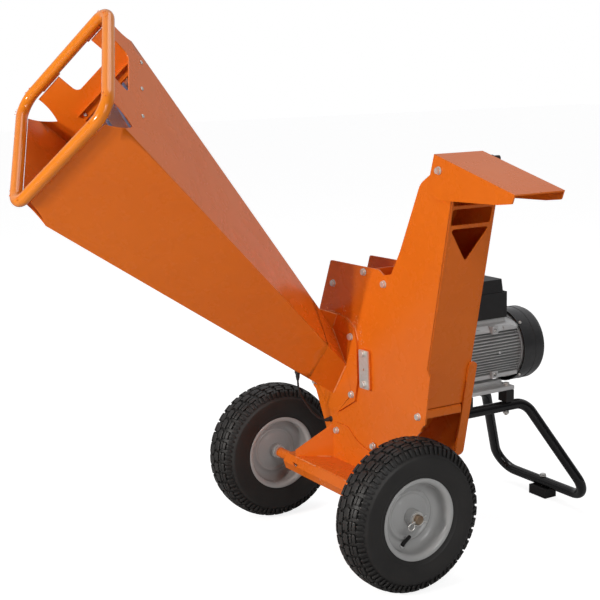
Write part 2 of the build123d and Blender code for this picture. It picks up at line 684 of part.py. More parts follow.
with BuildPart() as fan_cowl:
    with BuildSketch(Plane(origin=(0, 0, SHAFT_Z), x_dir=(0, 1, 0), z_dir=(1, 0, 0))):
        with BuildLine():
            Polyline((COWL_FRONT_Y, COWL_R - COWL_T), (COWL_FRONT_Y, COWL_R))
            Polyline((COWL_FRONT_Y, COWL_R), (COWL_REAR_Y - 14, COWL_R), (COWL_REAR_Y - 4, COWL_R - 4),
                     (COWL_REAR_Y, COWL_R - 14), (COWL_REAR_Y, 0), (COWL_REAR_Y - COWL_T, 0),
                     (COWL_REAR_Y - COWL_T, COWL_R - 15), (COWL_REAR_Y - 5, COWL_R - 6),
                     (COWL_REAR_Y - 14, COWL_R - COWL_T), (COWL_FRONT_Y, COWL_R - COWL_T))
        make_face()
    revolve(axis=Axis((0, 0, SHAFT_Z), (0, 1, 0)))
    with BuildSketch(xz_plane(COWL_REAR_Y + 1)):
        with Locations((0, SHAFT_Z)):
            for ring, count in ((26, 8), (42, 12), (58, 16)):
                with PolarLocations(ring, count):
                    SlotOverall(12, 6, mode=Mode.ADD)
    extrude(amount=COWL_T + 2, mode=Mode.SUBTRACT)
save(fan_cowl, "fan_cowl")

with BuildPart() as motor_screws:
    for turn in (45, 135, 225, 315):
        along_x = math.cos(math.radians(turn))
        along_z = math.sin(math.radians(turn))
        reach = COWL_R + 2.4
        with Locations(Location((reach * along_x, BODY_REAR_Y + 8, SHAFT_Z + reach * along_z), (0, 90 - turn, 0))):
            Cylinder(4.2, 4.0)
    for side in (-1, 1):
        for rise in (-48, 56):
            rod_x(side * 73, side * 76, AXLE_Y + 408, SHAFT_Z + rise, 3.6)
save(motor_screws, "motor_screws")

FOOT_Y0 = AXLE_Y + 296.0
FOOT_Y1 = AXLE_Y + 457.0
FOOT_HALF_W = 87.0
FOOT_T = 9.0
MOTOR_BOLT_Y = (AXLE_Y + 318.0, AXLE_Y + 443.0)
BLOCK_GAP = 0.3

with BuildPart() as motor_foot_plate:
    with Locations((0, (FOOT_Y0 + FOOT_Y1) / 2, FOOT_Z + FOOT_T / 2)):
        Box(2 * FOOT_HALF_W, FOOT_Y1 - FOOT_Y0, FOOT_T)
    with Locations((0, (FOOT_Y0 + FOOT_Y1) / 2, FOOT_Z + FOOT_T)):
        Box(100, FOOT_Y1 - FOOT_Y0 - 16, SHAFT_Z - FIN_R - FOOT_Z - 2, align=(Align.CENTER, Align.CENTER, Align.MIN))
    rod_y(0, FOOT_Y0, FOOT_Y1, SHAFT_Z, FIN_R + 0.3, mode=Mode.SUBTRACT)
    for x in (-RAIL_X, RAIL_X):
        for y in MOTOR_BOLT_Y:
            with Locations((x, y, FOOT_Z)):
                Cylinder(M8_R, 60, mode=Mode.SUBTRACT)
save(motor_foot_plate, "motor_foot_plate")

with BuildPart() as motor_spacers:
    for x in (-RAIL_X, RAIL_X):
        for y in MOTOR_BOLT_Y:
            block_h = FOOT_Z - RAIL_Z - RAIL_R - 2 * BLOCK_GAP
            with Locations((x, y, FOOT_Z - BLOCK_GAP - block_h / 2)):
                Box(30, 24, block_h)
                Cylinder(M8_R, 60, mode=Mode.SUBTRACT)
save(motor_spacers, "motor_spacers")

# Switch and capacitor box on top of the motor
BOX_BASE_Z = SHAFT_Z + 79.4
BOX_SPLIT_Z = SHAFT_Z + 140.0
BOX_TOP_Z = SHAFT_Z + 171.0
BOX_Y0 = AXLE_Y + 340.0
BOX_Y1 = AXLE_Y + 468.0
BOX_HALF_W = 50.0

with BuildPart() as switch_box:
    with Locations((0, (BOX_Y0 + BOX_Y1) / 2, (BOX_BASE_Z + BOX_SPLIT_Z) / 2)):
        Box(2 * BOX_HALF_W, BOX_Y1 - BOX_Y0, BOX_SPLIT_Z - BOX_BASE_Z)
    fillet(switch_box.edges().filter_by(Axis.Z), 9)
    offset(amount=-3, openings=switch_box.faces().sort_by(Axis.Z)[-1])
    for z in (SHAFT_Z + 96, SHAFT_Z + 122):
        rod_x(-BOX_HALF_W - 2, -BOX_HALF_W + 6, BOX_Y0 + 40, z, 9.05, mode=Mode.SUBTRACT)
save(switch_box, "switch_box")

with BuildPart() as switch_box_lid:
    with BuildSketch(Plane.XY.offset(BOX_SPLIT_Z + 0.4)):
        with Locations((0, (BOX_Y0 + BOX_Y1) / 2 - 4)):
            RectangleRounded(2 * BOX_HALF_W - 4, BOX_Y1 - BOX_Y0 - 12, 10)
    extrude(amount=BOX_TOP_Z - BOX_SPLIT_Z - 0.4, taper=7)
    offset(amount=-3, openings=switch_box_lid.faces().sort_by(Axis.Z)[0])
save(switch_box_lid, "switch_box_lid")

BUTTON_R = 9.0
BUTTON_TRAVEL = 3.0
BUTTON_SPOTS = {"start_button": SHAFT_Z + 122, "stop_button": SHAFT_Z + 96}

for name, z in BUTTON_SPOTS.items():
    with BuildPart() as button:
        rod_x(-BOX_HALF_W - 5, -BOX_HALF_W + 5, BOX_Y0 + 40, z, BUTTON_R)
    save(button, name)

with BuildPart() as power_inlet:
    rod_x(-BOX_HALF_W - 14, -BOX_HALF_W - 0.3, BOX_Y0 + 88, SHAFT_Z + 108, 19)
    rod_x(-BOX_HALF_W - 15, -BOX_HALF_W - 5, BOX_Y0 + 88, SHAFT_Z + 108, 16, mode=Mode.SUBTRACT)
    for turn in (90, 210, 330):
        pin_y = BOX_Y0 + 88 + 8 * math.cos(math.radians(turn))
        pin_z = SHAFT_Z + 108 + 8 * math.sin(math.radians(turn))
        rod_x(-BOX_HALF_W - 12, -BOX_HALF_W - 5, pin_y, pin_z, 2.4)
save(power_inlet, "power_inlet")

# ---------------------------------------------------------------- stand

FOOT_BAR_Z = 36.1
FOOT_CORNER = (176.3, AXLE_Y + 632.1)
LEG_BEND = 48.0
END_PLATE = 58.0

with BuildPart() as stand_frame:
    with BuildLine() as stand_path:
        FilletPolyline((RAIL_X, REAR_Y + 3, RAIL_Z), (RAIL_X, RAIL_BEND_Y, RAIL_Z),
                       (*FOOT_CORNER, FOOT_BAR_Z), (-FOOT_CORNER[0], FOOT_CORNER[1], FOOT_BAR_Z),
                       (-RAIL_X, RAIL_BEND_Y, RAIL_Z), (-RAIL_X, REAR_Y + 3, RAIL_Z), radius=LEG_BEND)
    with BuildSketch(Plane(origin=stand_path.line @ 0, z_dir=stand_path.line % 0)):
        Circle(RAIL_R)
        Circle(RAIL_R - 2, mode=Mode.SUBTRACT)
    sweep()
    for x in (-RAIL_X, RAIL_X):
        with Locations((x, REAR_Y + 2.9, RAIL_Z)):
            Box(END_PLATE, 5, END_PLATE)
        for y in MOTOR_BOLT_Y:
            with Locations((x, y, RAIL_Z)):
                Cylinder(M8_R, 60, mode=Mode.SUBTRACT)
    with Locations((0, FOOT_CORNER[1], FOOT_BAR_Z)):
        Cylinder(M8_R, 60, mode=Mode.SUBTRACT)
save(stand_frame, "stand_frame")

FOOT_BLOCK_H = FOOT_BAR_Z - RAIL_R - BLOCK_GAP

with BuildPart() as stand_foot:
    with Locations((0, 0, FOOT_BLOCK_H / 2)):
        Box(60, 37, FOOT_BLOCK_H)
    with Locations((0, FOOT_CORNER[1], FOOT_BLOCK_H)):
        Cylinder(M8_R, 24, mode=Mode.SUBTRACT)
save(stand_foot, "stand_foot")

with BuildPart() as stand_bolts:
    for x in (-RAIL_X, RAIL_X):
        for y in MOTOR_BOLT_Y:
            bolt_z(x, y, FOOT_Z + FOOT_T, FOOT_T + FOOT_Z - RAIL_Z + RAIL_R + 10)
            with BuildSketch(Plane.XY.offset(RAIL_Z - RAIL_R - 7)):
                with Locations((x, y)):
                    RegularPolygon(7, 6)
            extrude(amount=6.5)
    bolt_z(0, FOOT_CORNER[1], FOOT_BAR_Z + RAIL_R, 2 * RAIL_R + 11)
save(stand_bolts, "stand_bolts")

# ---------------------------------------------------------------- axle, its carrier and brackets

BASE_Z = 181.0
CARRIER_HALF = 190.0
WEB_SPLAY = 56.0
BRACKET_X = 94.0
WEB_FRONT_Y = AXLE_Y - 15.0
BRACKET_Y = FRONT_Y - SHEET_T
AXLE_TUBE_R = 12.0
SKIRT_NOTCH = [(-154, 168.5), (-128, 167.5), (-135, 158.5)]

with BuildPart() as axle_bracket:
    with BuildSketch(xz_plane(FRONT_Y - 0.3)):
        with BuildLine():
            Polyline((BRACKET_X, 236.5), (BRACKET_X, BASE_Z), (-BRACKET_X, BASE_Z), (-BRACKET_X, 263),
                     (-84, 271.5), (-40, 272))
            Spline((-40, 272), (-6, 256), (35, 240), (62, 237), tangents=((1, 0), (1, 0)))
            Line((62, 237), (BRACKET_X, 236.5))
        make_face()
        with Locations(*BRACKET_BOLTS):
            Circle(M8_R, mode=Mode.SUBTRACT)
    extrude(amount=SHEET_T - 0.3)
    with BuildSketch(Plane.XY.offset(BASE_Z)):
        Polygon((-BRACKET_X, BRACKET_Y + 1), (BRACKET_X, BRACKET_Y + 1), (BRACKET_X + WEB_SPLAY - 1, WEB_FRONT_Y + 2),
                (-BRACKET_X - WEB_SPLAY + 1, WEB_FRONT_Y + 2), align=None)
    extrude(amount=SHEET_T)
    for side, tall in ((-1, 266.0), (1, 228.0)):
        splay = Vector(side * WEB_SPLAY, WEB_FRONT_Y - BRACKET_Y, 0)
        run = splay.length
        with BuildSketch(Plane(origin=(side * (BRACKET_X - 3), BRACKET_Y, 0), x_dir=splay,
                               z_dir=splay.cross(Vector(0, 0, 1)))):
            Polygon((-1.5, BASE_Z), (-1.5, tall), (run, BASE_Z + 18), (run, BASE_Z), align=None)
        extrude(amount=SHEET_T / 2, both=True)
save(axle_bracket, "axle_bracket")

with BuildPart() as axle_carrier:
    with BuildSketch(Plane.YZ.offset(-CARRIER_HALF)):
        Polygon((AXLE_Y + 14, BASE_Z - 0.3), (AXLE_Y - 13, BASE_Z - 0.3), (AXLE_Y - 24, 163), (AXLE_Y - 18, 144),
                (AXLE_Y - 12, 144), (AXLE_Y - 12, 147), (AXLE_Y - 16, 147), (AXLE_Y - 20.6, 163),
                (AXLE_Y - 11.5, BASE_Z - 3.3), (AXLE_Y + 14, BASE_Z - 3.3), align=None)
    extrude(amount=2 * CARRIER_HALF)
    for x in (-CARRIER_HALF, CARRIER_HALF - 4):
        with BuildSketch(Plane.YZ.offset(x)):
            Polygon((AXLE_Y + 13, BASE_Z - 1), (AXLE_Y - 12, BASE_Z - 1), (AXLE_Y - 22, 163), (AXLE_Y - 16, 145),
                    (AXLE_Y + 9, 148), align=None)
        extrude(amount=4)
    with BuildSketch(xz_plane(AXLE_Y - 30)):
        Polygon(*SKIRT_NOTCH, align=None)
    extrude(amount=-17, mode=Mode.SUBTRACT)
    rod_x(-244, 244, AXLE_Y, TYRE_R, AXLE_TUBE_R)
    rod_x(-246, 246, AXLE_Y, TYRE_R, AXLE_R, mode=Mode.SUBTRACT)
save(axle_carrier, "axle_carrier")

AXLE_HALF = 322.0
CLIP_X = 317.5
CLIP_WIRE_R = 1.5
CLIP_WAY = Vector(0, 0.9703, 0.2419)      # the clip's straight leg, through the axle

with BuildPart() as axle:
    rod_x(-AXLE_HALF, AXLE_HALF, AXLE_Y, TYRE_R, AXLE_R)
    chamfer(axle.edges().filter_by(GeomType.CIRCLE), 1.5)
    for x in (-CLIP_X, CLIP_X):
        with BuildSketch(Plane(origin=(x, AXLE_Y, TYRE_R), z_dir=CLIP_WAY)):
            Circle(CLIP_WIRE_R)
        extrude(amount=20, both=True, mode=Mode.SUBTRACT)
save(axle, "axle")

# ---------------------------------------------------------------- wheels

RIM_FLANGE_R = 88.5
BEAD_R = 79.0
HUB_R_OUT = 17.5
HUB_HALF = 33.0
BUSH_R = 14.0
SEAM = 0.15              # half the slit between the rim's two pressed halves
VALVE_R = 4.2
# Half a rim in section, as distance from the wheel's middle and radius: the side towards the tyre, then the dish.
RIM_UNDER = [(38.7, RIM_FLANGE_R), (38.8, 82), (35.6, BEAD_R), (SEAM, BEAD_R), (SEAM, 57), (4.6, 53), (4.8, 51),
             (2.6, 47), (3, 42), (6.6, 32), (8.6, HUB_R_OUT - 1)]
RIM_DISH = [(11, HUB_R_OUT - 1), (9, 32), (5.6, 42), (5.2, 46), (7.4, 50), (7.4, 53), (2.8, 59), (2.8, 65),
            (6, 71.5), (14, 75.6), (36, 76), (41.4, 81), (41.4, RIM_FLANGE_R)]


def rod_between(start, end, radius, mode=Mode.ADD):
    """A round bar from one point to another."""
    with BuildSketch(Plane(origin=start, z_dir=end - start), mode=Mode.PRIVATE) as disc:
        Circle(radius)
    extrude(disc.sketch, amount=(end - start).length, mode=mode)


for side, which in ((-1, "left"), (1, "right")):
    wheel_x = side * HALF_TRACK
    wheel_axis = Axis((wheel_x, AXLE_Y, TYRE_R), (1, 0, 0))
    wheel_plane = Plane(origin=(wheel_x, AXLE_Y, TYRE_R), x_dir=(1, 0, 0), z_dir=(0, -1, 0))
    valve_way = Vector(0, -0.276, -0.961)
    valve_root = Vector(wheel_x + side * 1.5, AXLE_Y, TYRE_R) + valve_way * 68.4
    valve_tip = Vector(wheel_x + side * 22, AXLE_Y, TYRE_R) + valve_way * 40.5

    with BuildPart() as tyre:
        with BuildSketch(wheel_plane):
            Polygon((-33, 79.4), (-38.2, 85), (-38.2, 90), (-42, 96), (-46, 112), (-47, 130), (-43, 149), (-36, 158),
                    (-18, 164), (0, 165), (18, 164), (36, 158), (43, 149), (47, 130), (46, 112), (42, 96),
                    (38.2, 90), (38.2, 85), (33, 79.4),
                    (27, 79.4), (31, 92), (38, 112), (39, 130), (34, 144), (22, 152), (-22, 152), (-34, 144),
                    (-39, 130), (-38, 112), (-31, 92), (-27, 79.4), align=None)
        revolve(axis=wheel_axis)
    save(tyre, f"{which}_tyre")

    with BuildPart() as rim:
        for half in (-1, 1):
            with BuildSketch(wheel_plane):
                Polygon(*[(half * x, r) for x, r in RIM_UNDER + RIM_DISH], align=None)
            revolve(axis=wheel_axis)
        rod_x(wheel_x - HUB_HALF, wheel_x + HUB_HALF, AXLE_Y, TYRE_R, HUB_R_OUT)
        rod_x(wheel_x - HUB_HALF, wheel_x + HUB_HALF, AXLE_Y, TYRE_R, BUSH_R, mode=Mode.SUBTRACT)
        rod_between(valve_root, valve_tip, VALVE_R + 0.1, mode=Mode.SUBTRACT)
    save(rim, f"{which}_rim")

    with BuildPart() as bush:
        rod_x(wheel_x - HUB_HALF, wheel_x + HUB_HALF, AXLE_Y, TYRE_R, BUSH_R)
        rod_x(wheel_x - HUB_HALF, wheel_x + HUB_HALF, AXLE_Y, TYRE_R, AXLE_R + RUN_FIT, mode=Mode.SUBTRACT)
    save(bush, f"{which}_hub_bush")

    with BuildPart() as valve:
        rod_between(valve_root, valve_tip, VALVE_R)
    save(valve, f"{which}_valve_stem")

with BuildPart() as axle_washers:
    for side in (-1, 1):
        for x0 in (HALF_TRACK + HUB_HALF + 0.5, HALF_TRACK - HUB_HALF - 1.8):
            rod_x(side * x0, side * (x0 + 1.5), AXLE_Y, TYRE_R, 15)
            rod_x(side * x0, side * (x0 + 1.5), AXLE_Y, TYRE_R, AXLE_R, mode=Mode.SUBTRACT)
save(axle_washers, "axle_washers")

CLIP_GAP = 12.6


def clip_point(x, along, below):
    """A point of the hairpin clip, along its straight leg and below it."""
    return Vector(x, AXLE_Y, TYRE_R) + CLIP_WAY * along + Vector(0, CLIP_WAY.Z, -CLIP_WAY.Y) * below


with BuildPart() as axle_clips:
    for x in (-CLIP_X, CLIP_X):
        with BuildLine() as wire:
            FilletPolyline(clip_point(x, 20, 0), clip_point(x, -30, 0), clip_point(x, -30, CLIP_GAP),
                           clip_point(x, 15, CLIP_GAP), radius=CLIP_GAP / 2 - 0.2)
        with BuildSketch(Plane(origin=wire.line @ 0, z_dir=wire.line % 0)):
            Circle(CLIP_WIRE_R)
        sweep()
save(axle_clips, "axle_clips")

# ---------------------------------------------------------------- safety-switch lead

LEAD_R = 2.3
LEAD_ROUTE = [
    Vector(-92.0, AXLE_Y - 38.0, 386.0),
    Vector(-95.0, AXLE_Y - 36.0, 356.0),
    Vector(-111.0, AXLE_Y - 8.0, 322.0),
    Vector(-108.0, AXLE_Y + 20.0, 280.0),
    Vector(-103.0, FRONT_Y - 16.0, 273.0),
]


def bend_radii(route):
    """The largest arc at each corner of a route: it uses 0.45 of the shorter run on either side."""
    radii = []
    for before, corner, after in zip(route, route[1:], route[2:]):
        turn = (corner - before).get_angle(after - corner)
        shorter = min((corner - before).length, (after - corner).length)
        radii.append(0.45 * shorter / math.tan(math.radians(turn / 2)))
    return radii


with BuildPart() as safety_lead:
    with BuildLine() as lead_path:
        FilletPolyline(*LEAD_ROUTE, radius=bend_radii(LEAD_ROUTE))
    with BuildSketch(Plane(origin=lead_path.line @ 0, z_dir=lead_path.line % 0)):
        Circle(LEAD_R)
    sweep()
lead_length = sum(edge.length for edge in lead_path.edges())
print("safety lead: radii", [round(r, 1) for r in bend_radii(LEAD_ROUTE)], "length", round(lead_length, 1),
      "volume ratio", round(safety_lead.part.volume / (math.pi * LEAD_R ** 2 * lead_length), 4))
save(safety_lead, "safety_lead")

with BuildPart() as lead_glands:
    rod_y(LEAD_ROUTE[-1].X, LEAD_ROUTE[-1].Y + 0.5, FRONT_Y - 0.3, LEAD_ROUTE[-1].Z, 7)
    with Locations(LEAD_ROUTE[0] + Vector(0, 0, 8)):
        Cylinder(7, 15)
save(lead_glands, "lead_glands")
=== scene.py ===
import json
import math
import random

import bmesh
import bpy
import numpy as np
from mathutils import Matrix, Vector


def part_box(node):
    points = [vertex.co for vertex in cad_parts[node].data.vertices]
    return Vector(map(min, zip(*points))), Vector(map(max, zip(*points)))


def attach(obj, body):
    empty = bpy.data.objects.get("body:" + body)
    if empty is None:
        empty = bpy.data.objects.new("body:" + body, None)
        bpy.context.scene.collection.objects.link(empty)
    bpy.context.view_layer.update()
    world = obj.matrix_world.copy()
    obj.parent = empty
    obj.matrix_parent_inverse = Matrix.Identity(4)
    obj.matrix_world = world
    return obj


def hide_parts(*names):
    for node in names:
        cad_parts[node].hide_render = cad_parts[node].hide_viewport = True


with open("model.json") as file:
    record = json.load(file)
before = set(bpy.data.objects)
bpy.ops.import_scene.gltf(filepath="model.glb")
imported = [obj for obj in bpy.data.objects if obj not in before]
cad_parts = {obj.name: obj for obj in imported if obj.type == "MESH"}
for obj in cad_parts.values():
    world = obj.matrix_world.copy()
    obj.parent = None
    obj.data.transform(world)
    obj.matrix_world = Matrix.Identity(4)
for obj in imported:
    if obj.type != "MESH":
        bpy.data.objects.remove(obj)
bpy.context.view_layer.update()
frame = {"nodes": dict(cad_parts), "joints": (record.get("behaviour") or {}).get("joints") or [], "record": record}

# A walk-behind electric wood chipper. Everything is in metres, in the CAD model's frame: +Z is up, -Y is the feed
# side, +X the discharge side, and the origin is on the ground under the stand foot.

nodes = frame["nodes"]
record = frame["record"]
joints = {joint["name"]: joint for joint in frame["joints"]}
MM = 0.001
X = Vector((1, 0, 0))
Y = Vector((0, 1, 0))
Z = Vector((0, 0, 1))


def middle(node):
    """The middle of a CAD node's box."""
    low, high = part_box(node)
    return (low + high) / 2


AXLE = middle("axle")
SHAFT = middle("motor_rotor")


def at(x, y, z):
    """A point given in millimetres, its y measured from the axle."""
    return Vector((x * MM, AXLE.y + y * MM, z * MM))


# ---------------------------------------------------------------- camera

CAMERA_PLACE = Vector((2.3013, -2.1129, 1.0987))
CAMERA_AZIMUTH = math.radians(58.7126)
CAMERA_ELEVATION = math.radians(10.6962)
CAMERA_ROLL = math.radians(-1.2173)
CAMERA_LENS = 75.25


def make_camera():
    flat = math.cos(CAMERA_ELEVATION)
    back = Vector((math.sin(CAMERA_AZIMUTH) * flat, -math.cos(CAMERA_AZIMUTH) * flat, math.sin(CAMERA_ELEVATION)))
    right = (-back).cross(Z).normalized()
    up = back.cross(right)
    turned_right = right * math.cos(CAMERA_ROLL) + up * math.sin(CAMERA_ROLL)
    turned_up = up * math.cos(CAMERA_ROLL) - right * math.sin(CAMERA_ROLL)
    data = bpy.data.cameras.new("camera")
    data.lens = CAMERA_LENS
    data.sensor_width = 36
    data.clip_end = 100
    camera = bpy.data.objects.new("camera", data)
    axes = Matrix((turned_right, turned_up, back)).transposed().to_4x4()
    camera.matrix_world = Matrix.Translation(CAMERA_PLACE) @ axes
    bpy.context.scene.collection.objects.link(camera)
    bpy.context.scene.camera = camera


make_camera()

# ---------------------------------------------------------------- material nodes

MIX_COLOUR_SOCKETS = (0, 6, 7)     # a Mix node's factor and its two colours, when it mixes colours
MIX_COLOUR_RESULT = 2
LIGHT_PATH_CAMERA = "Is Camera Ray"


class Shader:
    """A material with one Principled shader and short calls for the nodes that feed it."""

    def __init__(self, name, **constants):
        self.material = bpy.data.materials.new(name)
        self.material.use_nodes = True
        self.tree = self.material.node_tree
        self.surface = self.tree.nodes["Principled BSDF"]
        self.place = self.node("ShaderNodeTexCoord").outputs["Object"]
        for socket, value in constants.items():
            self.surface.inputs[socket.replace("_", " ")].default_value = value

    def node(self, kind, **settings):
        made = self.tree.nodes.new(kind)
        for key, value in settings.items():
            setattr(made, key, value)
        return made

    def link(self, source, target):
        self.tree.links.new(source, target)

    def feed(self, socket, source):
        self.link(source, self.surface.inputs[socket])

    def noise(self, scale, detail=2.0, rough=0.5, distortion=0.0, stretch=None):
        """Noise from 0 to 1, with features about 1/scale metres across."""
        made = self.node("ShaderNodeTexNoise")
        made.inputs["Scale"].default_value = scale
        made.inputs["Detail"].default_value = detail
        made.inputs["Roughness"].default_value = rough
        made.inputs["Distortion"].default_value = distortion
        self.link(self.stretched(stretch), made.inputs["Vector"])
        return made.outputs["Fac"]

    def voronoi(self, scale):
        """Cells about 1/scale metres across, 0 at the middle of each."""
        made = self.node("ShaderNodeTexVoronoi")
        made.inputs["Scale"].default_value = scale
        self.link(self.place, made.inputs["Vector"])
        return made.outputs["Distance"]

    def stretched(self, stretch):
        """Object coordinates, scaled along each axis when stretch is given."""
        if stretch is None:
            return self.place
        made = self.node("ShaderNodeMapping")
        made.inputs["Scale"].default_value = stretch
        self.link(self.place, made.inputs["Vector"])
        return made.outputs["Vector"]

    def ramp(self, source, *stops):
        """Stops are (position, grey or colour)."""
        made = self.node("ShaderNodeValToRGB")
        elements = made.color_ramp.elements
        while len(elements) < len(stops):
            elements.new(0.5)
        for element, (position, colour) in zip(elements, stops):
            element.position = position
            element.color = (*colour, 1) if hasattr(colour, "__len__") else (colour, colour, colour, 1)
        self.link(source, made.inputs["Fac"])
        return made.outputs["Color"]

    def mix(self, factor, first, second):
        """Mix two colours; each may be a socket or a colour, and factor a socket or a number."""
        made = self.node("ShaderNodeMix", data_type="RGBA")
        for index, value in zip(MIX_COLOUR_SOCKETS, (factor, first, second)):
            if isinstance(value, bpy.types.NodeSocket):
                self.link(value, made.inputs[index])
            else:
                made.inputs[index].default_value = (*value, 1) if hasattr(value, "__len__") else value
        return made.outputs[MIX_COLOUR_RESULT]

    def product(self, first, second):
        """One socket times another socket or a number."""
        made = self.node("ShaderNodeMath", operation="MULTIPLY")
        self.link(first, made.inputs[0])
        if isinstance(second, bpy.types.NodeSocket):
            self.link(second, made.inputs[1])
        else:
            made.inputs[1].default_value = second
        return made.outputs[0]

    def facing_up(self):
        """1 where the surface faces up, for dust."""
        split = self.node("ShaderNodeSeparateXYZ")
        self.link(self.node("ShaderNodeNewGeometry").outputs["Normal"], split.inputs[0])
        return self.ramp(split.outputs["Z"], (0.3, 0.0), (0.95, 1.0))

    def painted_hollow_shade(self, reach):
        """1 in corners and under edges within reach metres, where the colour is darkened as painted shade."""
        made = self.node("ShaderNodeAmbientOcclusion", samples=4)
        made.inputs["Distance"].default_value = reach
        return self.ramp(made.outputs["AO"], (0.35, 1.0), (0.95, 0.0))

    def bump(self, *layers):
        """Layers are (height, depth in metres, strength)."""
        below = None
        for height, depth, strength in layers:
            made = self.node("ShaderNodeBump")
            made.inputs["Strength"].default_value = strength
            made.inputs["Distance"].default_value = depth
            self.link(height, made.inputs["Height"])
            if below is not None:
                self.link(below, made.inputs["Normal"])
            below = made.outputs["Normal"]
        self.feed("Normal", below)


DUST = (0.50, 0.40, 0.33)


def powder_coat(name, colour, shade, gloss, dust, coat):
    """Sprayed powder coat: fine orange peel, a slow drift of shade, faint wipe marks and thin dust on top faces."""
    s = Shader(name, IOR=1.5, Specular_IOR_Level=0.32, Coat_Weight=coat, Coat_Roughness=0.09)
    drift = s.noise(4.0, 3.0, 0.55)
    colour_here = s.mix(s.ramp(drift, (0.35, 0.0), (0.7, 1.0)), colour, shade)
    mottle = s.ramp(s.noise(240.0, 3.0, 0.6), (0.40, 0.0), (0.75, 0.05))
    colour_here = s.mix(mottle, colour_here, [c * 0.85 for c in colour])
    settled = s.product(s.facing_up(), s.ramp(s.noise(11.0, 5.0, 0.7), (0.3, 0.35), (0.75, 1.0)))
    colour_here = s.mix(s.product(settled, dust), colour_here, DUST)
    s.feed("Base Color", colour_here)
    wiped = s.noise(16.0, 5.0, 0.65, 0.3)
    s.feed("Roughness", s.ramp(wiped, (0.40, gloss), (0.85, gloss + 0.12)))
    s.bump((s.noise(620.0, 2.0, 0.5), 0.00004, 0.16), (s.noise(6.0, 1.0, 0.4), 0.0010, 0.05))
    return s.material


def plated_steel(name, colour):
    """Zinc plate: cloudy crystals, fine scratches and a faint warm cast in places."""
    s = Shader(name, Metallic=0.7)
    cloud = s.noise(160.0, 5.0, 0.6)
    spangle = s.voronoi(900.0)
    warm = [c * share for c, share in zip(colour, (0.9, 0.85, 0.76))]
    tint = s.mix(s.ramp(cloud, (0.35, 0.0), (0.7, 1.0)), colour, warm)
    s.feed("Base Color", s.mix(s.ramp(spangle, (0.1, 0.0), (0.6, 0.35)), tint, [c * 0.75 for c in colour]))
    s.feed("Roughness", s.ramp(cloud, (0.3, 0.3), (0.75, 0.48)))
    scratch = s.noise(300.0, 3.0, 0.7, 0.0, (1.0, 0.06, 1.0))
    s.bump((scratch, 0.00003, 0.4), (spangle, 0.00001, 0.3))
    return s.material


def cast_metal(name, colour):
    """Die-cast aluminium, shot-blasted: fine grain, flow marks and painted shade darkening it in corners and under
    edges.
    """
    s = Shader(name, Metallic=0.55)
    grain = s.noise(1500.0, 3.0, 0.7)
    flow = s.noise(30.0, 5.0, 0.65, 0.6, (1.0, 0.3, 1.0))
    tint = s.mix(s.ramp(flow, (0.35, 0.0), (0.75, 1.0)), colour, [c * 0.86 for c in colour])
    tint = s.mix(s.ramp(grain, (0.55, 0.0), (0.8, 0.3)), tint, [c * 0.6 for c in colour])
    # Darker in corners and under edges: painted shade.
    s.feed("Base Color", s.mix(s.painted_hollow_shade(0.0055), tint, [c * 0.62 for c in colour]))
    s.feed("Roughness", s.ramp(flow, (0.3, 0.42), (0.8, 0.57)))
    s.bump((grain, 0.0001, 0.5), (flow, 0.0002, 0.15))
    return s.material


def moulded(name, colour, roughness=0.42, grain=0.5):
    """Moulded plastic with a fine spark-eroded grain."""
    s = Shader(name, IOR=1.46)
    texture = s.voronoi(1700.0)
    wear = s.noise(55.0, 5.0, 0.7)
    s.feed("Base Color", s.mix(s.ramp(wear, (0.45, 0.0), (0.85, 0.4)), colour, [c * 1.6 + 0.003 for c in colour]))
    s.feed("Roughness", s.ramp(wear, (0.3, roughness), (0.8, roughness + 0.14)))
    s.bump((texture, 0.00005, grain), (wear, 0.0002, 0.1))
    return s.material


def rubber_compound(name, colour, dust=0.5, roughness=0.55):
    """Vulcanised rubber: mould sheen, pale bloom and dust in patches, and painted shade darkening it in corners and
    under edges.
    """
    s = Shader(name, IOR=1.5)
    bloom = s.noise(18.0, 6.0, 0.7)
    grain = s.noise(1300.0, 2.0, 0.6)
    paler = [c * 1.7 + lift for c, lift in zip(colour, (0.007, 0.006, 0.005))]
    tint = s.mix(s.ramp(bloom, (0.35, 0.0), (0.8, dust)), colour, paler)
    tint = s.mix(s.ramp(grain, (0.62, 0.0), (0.8, 0.4)), tint, paler)
    # Darker in corners and under edges: painted shade.
    s.feed("Base Color", s.mix(s.painted_hollow_shade(0.006), tint, [c * 0.35 for c in colour]))
    s.feed("Roughness", s.ramp(bloom, (0.3, roughness), (0.8, roughness + 0.2)))
    s.bump((grain, 0.00006, 0.5), (s.noise(140.0, 3.0, 0.6), 0.00015, 0.25))
    return s.material


def machined(name, colour, roughness=0.34, rust=0.6):
    """Bare turned or ground steel with brush lines, a little oil stain and rust freckles."""
    s = Shader(name, Metallic=0.9)
    lines = s.noise(500.0, 3.0, 0.6, 0.0, (0.05, 1.0, 1.0))
    stain = s.noise(60.0, 6.0, 0.7)
    tint = s.mix(s.ramp(stain, (0.45, 0.0), (0.8, rust)), colour, (0.23, 0.12, 0.06))
    s.feed("Base Color", tint)
    s.feed("Roughness", s.ramp(stain, (0.3, roughness), (0.8, roughness + 0.25)))
    s.bump((lines, 0.00004, 0.5))
    return s.material


def clear_sheet(name, colour, paler, transmission, roughness):
    """Flexible PVC: bluish, clear, lightly scuffed and wavy."""
    s = Shader(name, IOR=1.5, Transmission_Weight=transmission)
    scuff = s.noise(40.0, 5.0, 0.7, 0.3, (1.0, 0.25, 1.0))
    s.feed("Base Color", s.mix(s.ramp(scuff, (0.3, 0.0), (0.8, 1.0)), colour, paler))
    s.feed("Roughness", s.ramp(scuff, (0.35, roughness), (0.8, roughness + 0.12)))
    s.bump((s.noise(14.0, 3.0, 0.5), 0.0008, 0.3), (s.noise(500.0, 2.0, 0.5), 0.00002, 0.2))
    return s.material


